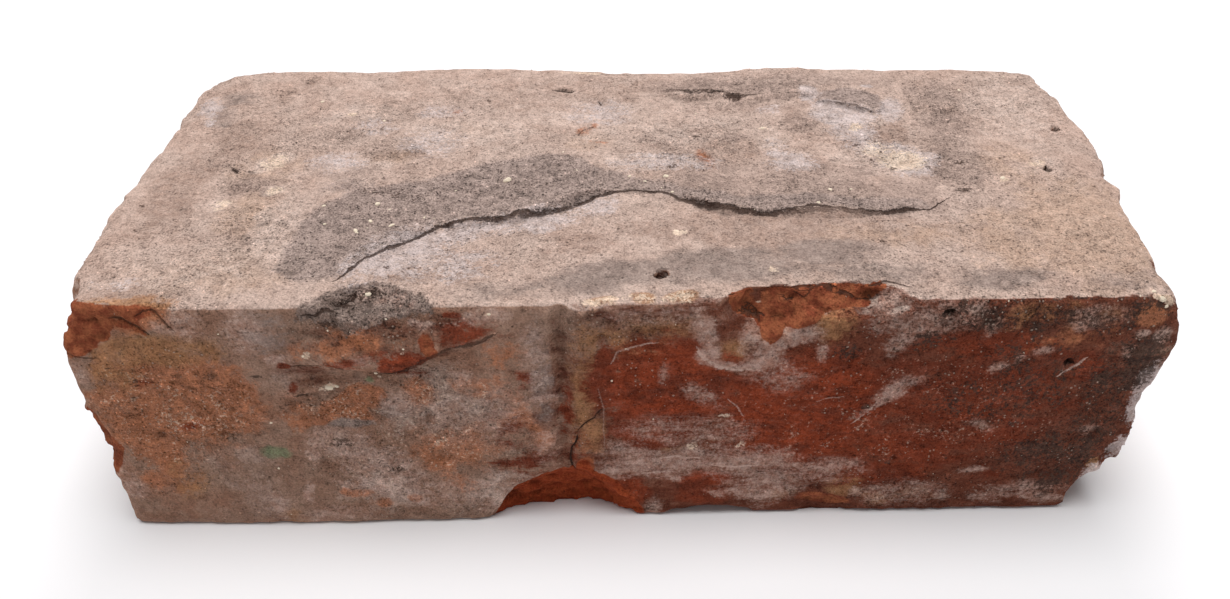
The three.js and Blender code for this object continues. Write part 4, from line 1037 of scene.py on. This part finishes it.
def line_masks(tree, fine, slow):
    """Where the lines show as dark gaps of painted shade, and where as chalk."""
    width, dark = read(tree, "line_width"), read(tree, "line_dark")
    ragged = times(fine, maths("MULTIPLY_ADD", width, 2.4, 0.3))
    offset = plus((1.0, read(tree, "line_side")), (1.0, ragged), (0.5, slow))
    offset = maths("ABSOLUTE", offset)
    offset = maths("DIVIDE", offset, maths("MAXIMUM", width, 0.01))
    line = step(offset, 0.45, 1.25, 1.0, 0.0)
    line = times(line, step(width, 0.02, 0.1))
    broken = step(plus((1.0, fine), (1.0, width)), 0.4, 1.5, 0.0, 1.0)
    broken = times(broken, step(dark, 0.9, 1.0, 1.0, 0.0))
    broken = times(broken, step(fine, -0.02, 0.1, 0.0, 0.6))
    line = times(line, less(1.0, broken))
    gap = times(line, maths("MAXIMUM", dark, 0.0))
    chalk = times(line, maths("MAXIMUM", times(dark, -1.0), 0.0))
    return gap, times(chalk, step(fine, -0.15, 0.1, 0.3, 1.0))


def clay_colour_group(palette):
    """The clay's colour with every mark on it, and the height of its grain."""
    made = {"Colour": "Color", **floats("Tone", "Height")}
    tree, _, end = new_group("Shader", "Clay Colour", {}, made)

    def shade(name):
        return colour(getattr(palette, name))

    edge = ragged_edge_group()
    place = object_place(tree)
    grain = use_group(tree, sandy_grain_group(), {"Coarseness": read(tree, "grit")})
    slow = sway(place, 6, 5.0, 0.62)
    streak = sway(drawn_out(place, 0.45), 3.6, 6.0, 0.7)
    brush = sway(drawn_out(place, 0.26), 2.6, 6.0, 0.72)
    fine = sway(place, 0.8, 3.0, 0.7)
    mottle = step(noise(place, 2.4, 4.0, 0.65), 0.38, 0.62)
    dust = {"Amount": read(tree, "dust"), "Grain": times(fine, 0.6), "Softness": 0.3}
    dusty = use_group(tree, edge, dust)["Mask"]
    base = plain_clay(tree, shade, place, dusty)
    for kind, wander, ragged, soft, cover in LAYERS:
        streaky = kind in ("frost", "red", "burnt", "slate")
        drift = streak if streaky else brush if kind == "veil" else slow
        mask = use_group(tree, edge, {
            "Amount": read(tree, kind), "Wander": times(drift, wander),
            "Grain": times(fine, ragged), "Softness": soft,
        })["Mask"]
        patchy = step(streak, -0.1, 0.12) if kind in ("red", "burnt") else mottle
        paint = blend(patchy, shade(kind), shade(kind + "_deep"))
        base = blend(times(mask, cover), base, paint)
    base = sanded(tree, base, grain, dusty, shade("fleck_light"))
    gap, chalk = line_masks(tree, fine, slow)
    base = blend(chalk, base, shade("veil"))
    # The dark lines are painted shade.
    base = blend(gap, base, shade("crack"))
    height = plus((1.0, grain["Height"]), (-1.4, gap))
    for label, value in zip(made, (base, grain["Tone"], height)):
        tree.links.new(value, end[label])
    return tree


def new_material(name, clay):
    """An empty material: its nodes, and what the clay's group gives them."""
    material = bpy.data.materials.new(name)
    material.use_nodes = True
    tree = material.node_tree
    tree.nodes.clear()
    return material, tree, use_group(tree, clay)


def finish_material(look):
    """Adds the shader with the given inputs, and the output."""
    shader = linked("ShaderNodeBsdfPrincipled", look)
    linked("ShaderNodeOutputMaterial", {"Surface": shader.outputs[0]})


def fired_clay(clay):
    """The brick's material."""
    material, _, parts = new_material("Fired clay", clay)
    bump = {"Height": parts["Height"], "Distance": BUMP_HEIGHT, "Strength": 1.0}
    finish_material({
        "Base Color": parts["Colour"], "Roughness": step(parts["Tone"], 0.3, 0.7, 0.98, 0.84),
        "Normal": linked("ShaderNodeBump", bump).outputs[0], "Specular IOR Level": 0.06,
    })
    return material


def grain_material(palette, clay):
    """Sand and lime: each grain is a shade of the clay it sits in, or white."""
    material, tree, parts = new_material("Sand and lime", clay)
    tint = read(tree, "tint")
    shaded = brighten(parts["Colour"], step(tint, 0.0, 0.9, 0.55, 1.5))
    mixed = blend(step(tint, 0.99, 0.995), shaded, colour(palette.lime))
    finish_material({"Base Color": mixed, "Roughness": 0.85, "Specular IOR Level": 0.12})
    return material


# ---- Grains and chips -----------------------------------------------------------------------


def chance_number(tree, seed):
    """A random number from 0 to 1 for each grain."""
    inputs = {LOW_NUMBER: 0.0, HIGH_NUMBER: 1.0, "Seed": seed}
    return node(tree, "FunctionNodeRandomValue", inputs, data_type="FLOAT").outputs[1]


def chance_vector(tree, low, high, seed):
    """A random vector between low and high for each grain."""
    inputs = {LOW_VECTOR: low, HIGH_VECTOR: high, "Seed": seed}
    return node(tree, "FunctionNodeRandomValue", inputs, data_type="FLOAT_VECTOR").outputs[0]


def scatter_tree(material):
    """Geometry nodes that strew small faceted grains over a surface."""
    shape = {"Geometry": "Geometry"}
    labels = floats("Grains per Square Metre", "Smallest Radius", "Largest Radius")
    tree, start, end = new_group(
        "Geometry", "Strew Grains", {**shape, **labels, "Seed": "Int"}, shape
    )
    sandy, seen = (
        node(tree, "GeometryNodeInputNamedAttribute", {"Name": name}).outputs["Attribute"]
        for name in ("grit", "seen")
    )
    sandy = times(maths("POWER", sandy, 1.3), seen)
    points = linked("GeometryNodeDistributePointsOnFaces", {
        "Mesh": start["Geometry"], "Seed": start["Seed"],
        "Density": times(sandy, start["Grains per Square Metre"]),
    }).outputs
    ball = node(tree, "GeometryNodeMeshUVSphere", {"Radius": 1.0, "Segments": 4, "Rings": 2})
    size = linked("ShaderNodeMapRange", {
        "Value": maths("POWER", chance_number(tree, 3), 2.5),
        "To Min": start["Smallest Radius"], "To Max": start["Largest Radius"],
    }).outputs[0]
    skew = chance_vector(tree, (0.8, 0.7, 0.35), (1.3, 1.1, 0.7), 5)
    spin = chance_vector(tree, (-0.4, -0.4, 0.0), (0.4, 0.4, 6.28), 7)
    turned = linked(
        "FunctionNodeRotateRotation", {"Rotation": points["Rotation"], "Rotate By": spin},
        rotation_space="LOCAL",
    ).outputs[0]
    strewn = linked("GeometryNodeInstanceOnPoints", {
        "Points": points["Points"], "Instance": ball.outputs["Mesh"], "Rotation": turned,
        "Scale": brighten(skew, size),
    }).outputs[0]
    tinted = linked(
        "GeometryNodeStoreNamedAttribute",
        {"Geometry": strewn, "Name": "tint", "Value": chance_number(tree, 11)},
        data_type="FLOAT", domain="INSTANCE",
    ).outputs[0]
    real = linked("GeometryNodeRealizeInstances", {"Geometry": tinted}).outputs[0]
    dressed = linked("GeometryNodeSetMaterial", {"Geometry": real, "Material": material})
    tree.links.new(dressed.outputs[0], end["Geometry"])
    return tree


def set_input(modifier, label, value):
    """Sets the modifier's input of that name."""
    for item in modifier.node_group.interface.items_tree:
        if item.item_type == "SOCKET" and item.in_out == "INPUT" and item.name == label:
            modifier[item.identifier] = value
            return
    raise RuntimeError(f"the node group has no input named {label}")


def strew_grains(brick, settings, material):
    """Sand grains standing out of the brick's surface, as one piece."""
    grains = add_object("sand_grains", brick.data.copy())
    modifier = grains.modifiers.new("Grains", "NODES")
    modifier.node_group = scatter_tree(material)
    set_input(modifier, "Grains per Square Metre", settings.density)
    set_input(modifier, "Smallest Radius", settings.smallest)
    set_input(modifier, "Largest Radius", settings.largest)
    set_input(modifier, "Seed", settings.seed)
    settle(grains)
    return grains


def set_chips(brick, material):
    """White bits of lime, each a small rough stone pressed into the surface."""
    tree = BVHTree.FromObject(brick, bpy.context.evaluated_depsgraph_get())
    chance = np.random.default_rng(19)
    bm = bmesh.new()
    chips = [(face, *chip) for face in CHIPS for chip in CHIPS[face]]
    for face, across, up, half, *turned in chips:
        start, way = (across, up, 90), (0, 0, -1)
        if face == "front":
            start, way = (across, -20, up), (0, 1, 0)
        start = (Vector(start) - Vector(START)) * MM
        hit, normal, _, _ = tree.ray_cast(start, Vector(way))
        made = bmesh.ops.create_icosphere(bm, subdivisions=2, radius=1.0)["verts"]
        turn = Matrix.Rotation(math.radians(sum(turned)), 4, "Z")
        pose = Matrix.Translation(hit) @ normal.to_track_quat("Z", "Y").to_matrix().to_4x4() @ turn
        for vertex in made:
            vertex.co *= chance.uniform(0.8, 1.15)
            x, y, z = vertex.co
            vertex.co = pose @ Vector((x * half * MM, y * 0.7 * half * MM, z * 0.45 * half * MM))
    mesh = bpy.data.meshes.new("lime_chips")
    bm.to_mesh(mesh)
    bm.free()
    store(mesh, tint=np.ones(len(mesh.vertices)))
    mesh.materials.append(material)
    return add_object("lime_chips", mesh)


# ---- The stage ------------------------------------------------------------------------------


def make_camera(settings):
    """A camera in front of the brick, looking down at it."""
    yaw, pitch, roll = settings.yaw, settings.pitch, settings.roll
    level = math.cos(pitch)
    ahead = Vector((math.sin(yaw) * level, math.cos(yaw) * level, -math.sin(pitch)))
    right = Vector((math.cos(yaw), -math.sin(yaw), 0))
    up = right.cross(ahead)
    rolled_right = math.cos(roll) * right + math.sin(roll) * up
    rolled_up = math.cos(roll) * up - math.sin(roll) * right
    pose = Matrix((rolled_right, rolled_up, -ahead)).transposed().to_4x4()
    pose.translation = Vector(settings.camera_place)
    data = bpy.data.cameras.new("Camera")
    data.sensor_width = 36
    data.lens = settings.lens
    camera = add_object("Camera", data)
    camera.matrix_world = pose
    bpy.context.scene.camera = camera


def add_lamp(name, place, size, power):
    """A round lamp that points at the middle of the floor."""
    data = bpy.data.lights.new(name, "AREA")
    data.shape = "DISK"
    data.size = size
    data.energy = power
    lamp = add_object(name, data)
    lamp.location = place
    lamp.rotation_euler = (-Vector(place)).to_track_quat("-Z", "Y").to_euler()


def floor_material(shade):
    material = bpy.data.materials.new("Pale floor")
    material.use_nodes = True
    shader = material.node_tree.nodes["Principled BSDF"]
    shader.inputs["Base Color"].default_value = colour(shade)
    shader.inputs["Roughness"].default_value = 0.9
    shader.inputs["Specular IOR Level"].default_value = 0.1
    return material


def make_stage(settings):
    """A plain floor, soft light and the camera."""
    half = settings.floor_size / 2
    corners = [(-half, -half, 0), (half, -half, 0), (half, half, 0), (-half, half, 0)]
    mesh = bpy.data.meshes.new("floor")
    mesh.from_pydata(corners, [], [(0, 1, 2, 3)])
    floor = add_object("floor", mesh)
    mesh.materials.append(floor_material(settings.floor_colour))
    world = bpy.data.worlds.new("Studio")
    world.use_nodes = True
    background = world.node_tree.nodes["Background"]
    background.inputs["Color"].default_value = colour(SKY_TINT)
    background.inputs["Strength"].default_value = settings.sky
    bpy.context.scene.world = world
    add_lamp("Overhead", (0.0, -0.08, 1.2), 0.9, settings.overhead)
    add_lamp("Rake", (0.05, 0.9, 0.7), 0.4, settings.rake)
    make_camera(settings)
    bpy.context.scene.view_settings.view_transform = "Standard"


# ---- Settings, operators and panel ----------------------------------------------------------


def number(name, default, description, **more):
    """A setting that can't go below zero."""
    return FloatProperty(
        name=name, description=description, default=default, **{"min": 0, **more}
    )


def length(name, default, description):
    return number(name, default, description, subtype="DISTANCE", unit="LENGTH")


def angle(name, degrees, description):
    return FloatProperty(
        name=name, description=description, default=math.radians(degrees), subtype="ANGLE"
    )


def swatch(name, default, description):
    return FloatVectorProperty(
        name=name, description=description, default=default, size=3, min=0, max=1, subtype="COLOR"
    )


def palette_settings():
    """A setting for every shade; the deep one of a mark ends in _deep."""
    made = {}
    for name, (description, plain, *deep) in SHADES.items():
        label = name.capitalize().replace("_", " ")
        made[name] = swatch(label, plain, description)
        if deep:
            made[name + "_deep"] = swatch(f"Deep {label.lower()}", *deep, description + ", deep")
    return made


class BrickRelief(bpy.types.PropertyGroup):
    cell: length("Cell", 0.00078, "Size of the even faces that carry the relief")
    triangles: IntProperty(
        name="Triangles", description="Faces left after thinning", default=196000, min=1000
    )
    waves: number("Waves", 0.22, "Height of the slow waves, in millimetres")
    grit: number("Grit", 1.0, "Share of the sandy roughness")
    pores: IntProperty(name="Pores", description="Number of small pores", default=420, min=0)


class BrickPalette(bpy.types.PropertyGroup):
    __annotations__ = palette_settings()


class GrainSettings(bpy.types.PropertyGroup):
    density: number("Density", 150000, "Grains on a square metre of plain brick")
    smallest: length("Smallest", 0.00012, "Radius of the smallest grains")
    largest: length("Largest", 0.00045, "Radius of the largest grains")
    seed: IntProperty(name="Seed", description="Changes where the grains lie", default=4)


class StageSettings(bpy.types.PropertyGroup):
    overhead: number("Overhead", 12.8, "Power of the lamp above", unit="POWER")
    rake: number("Rake", 4.3, "Power of the low lamp behind", unit="POWER")
    sky: number("Sky", 0.24, "Strength of the even light all round")
    floor_size: length("Floor", 6.0, "Side of the floor")
    floor_colour: swatch("Floor colour", (0.94, 0.93, 0.94), "Colour of the floor")
    lens: number("Lens", 30.05, "Focal length", min=1, unit="CAMERA")
    yaw: angle("Yaw", 0.259, "Turn to the right")
    pitch: angle("Pitch", 37.375, "Turn down")
    roll: angle("Roll", -0.53, "Tilt of the camera")
    camera_place: FloatVectorProperty(
        name="Camera", description="Place of the camera", size=3, subtype="TRANSLATION",
        unit="LENGTH", default=[(at - start) * MM for at, start in zip(CAMERA_PLACE, START)],
    )


def finished_piece(piece):
    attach(piece, "root")
    return piece


class BRICK_OT_shape(bpy.types.Operator):
    """Make the brick with its relief, marks and material"""

    bl_idname = "brick.shape"
    bl_label = "Shape the Brick"

    def execute(self, context):
        brick = shape_brick(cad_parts["brick"], context.scene.brick_relief)
        brick.data.materials.clear()
        brick.data.materials.append(fired_clay(clay_colour_group(context.scene.brick_palette)))
        finished_piece(brick)
        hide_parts("brick")
        return {"FINISHED"}


class BRICK_OT_grains(bpy.types.Operator):
    """Strew sand grains over the brick and press lime chips into it"""

    bl_idname = "brick.grains"
    bl_label = "Strew Sand and Lime"

    def execute(self, context):
        brick = bpy.data.objects["clay_brick"]
        clay = bpy.data.node_groups["Clay Colour"]
        material = grain_material(context.scene.brick_palette, clay)
        finished_piece(strew_grains(brick, context.scene.brick_grains, material))
        finished_piece(set_chips(brick, material))
        return {"FINISHED"}


class BRICK_OT_stage(bpy.types.Operator):
    """Set up the floor, the light and the camera"""

    bl_idname = "brick.stage"
    bl_label = "Set the Stage"

    def execute(self, context):
        make_stage(context.scene.brick_stage)
        return {"FINISHED"}


class BRICK_PT_panel(bpy.types.Panel):
    bl_label = "Old Clay Brick"
    bl_space_type = "VIEW_3D"
    bl_region_type = "UI"
    bl_category = "Brick"

    def draw(self, context):
        scene = context.scene
        for operator, settings in (
            ("brick.shape", (scene.brick_relief, scene.brick_palette)),
            ("brick.grains", (scene.brick_grains,)),
            ("brick.stage", (scene.brick_stage,)),
        ):
            box = self.layout.box()
            for group in settings:
                for name in group.__annotations__:
                    box.prop(group, name)
            box.operator(operator)


SETTINGS = {
    "brick_relief": BrickRelief, "brick_palette": BrickPalette, "brick_grains": GrainSettings,
    "brick_stage": StageSettings,
}
CLASSES = (*SETTINGS.values(), BRICK_OT_shape, BRICK_OT_grains, BRICK_OT_stage, BRICK_PT_panel)


def register():
    for item in CLASSES:
        bpy.utils.register_class(item)
    for name, group in SETTINGS.items():
        setattr(bpy.types.Scene, name, PointerProperty(type=group))


def unregister():
    for name in SETTINGS:
        delattr(bpy.types.Scene, name)
    for item in reversed(CLASSES):
        bpy.utils.unregister_class(item)


def main():
    register()
    bpy.ops.brick.shape()
    bpy.ops.brick.grains()
    bpy.ops.brick.stage()


if __name__ == "__main__":
    main()
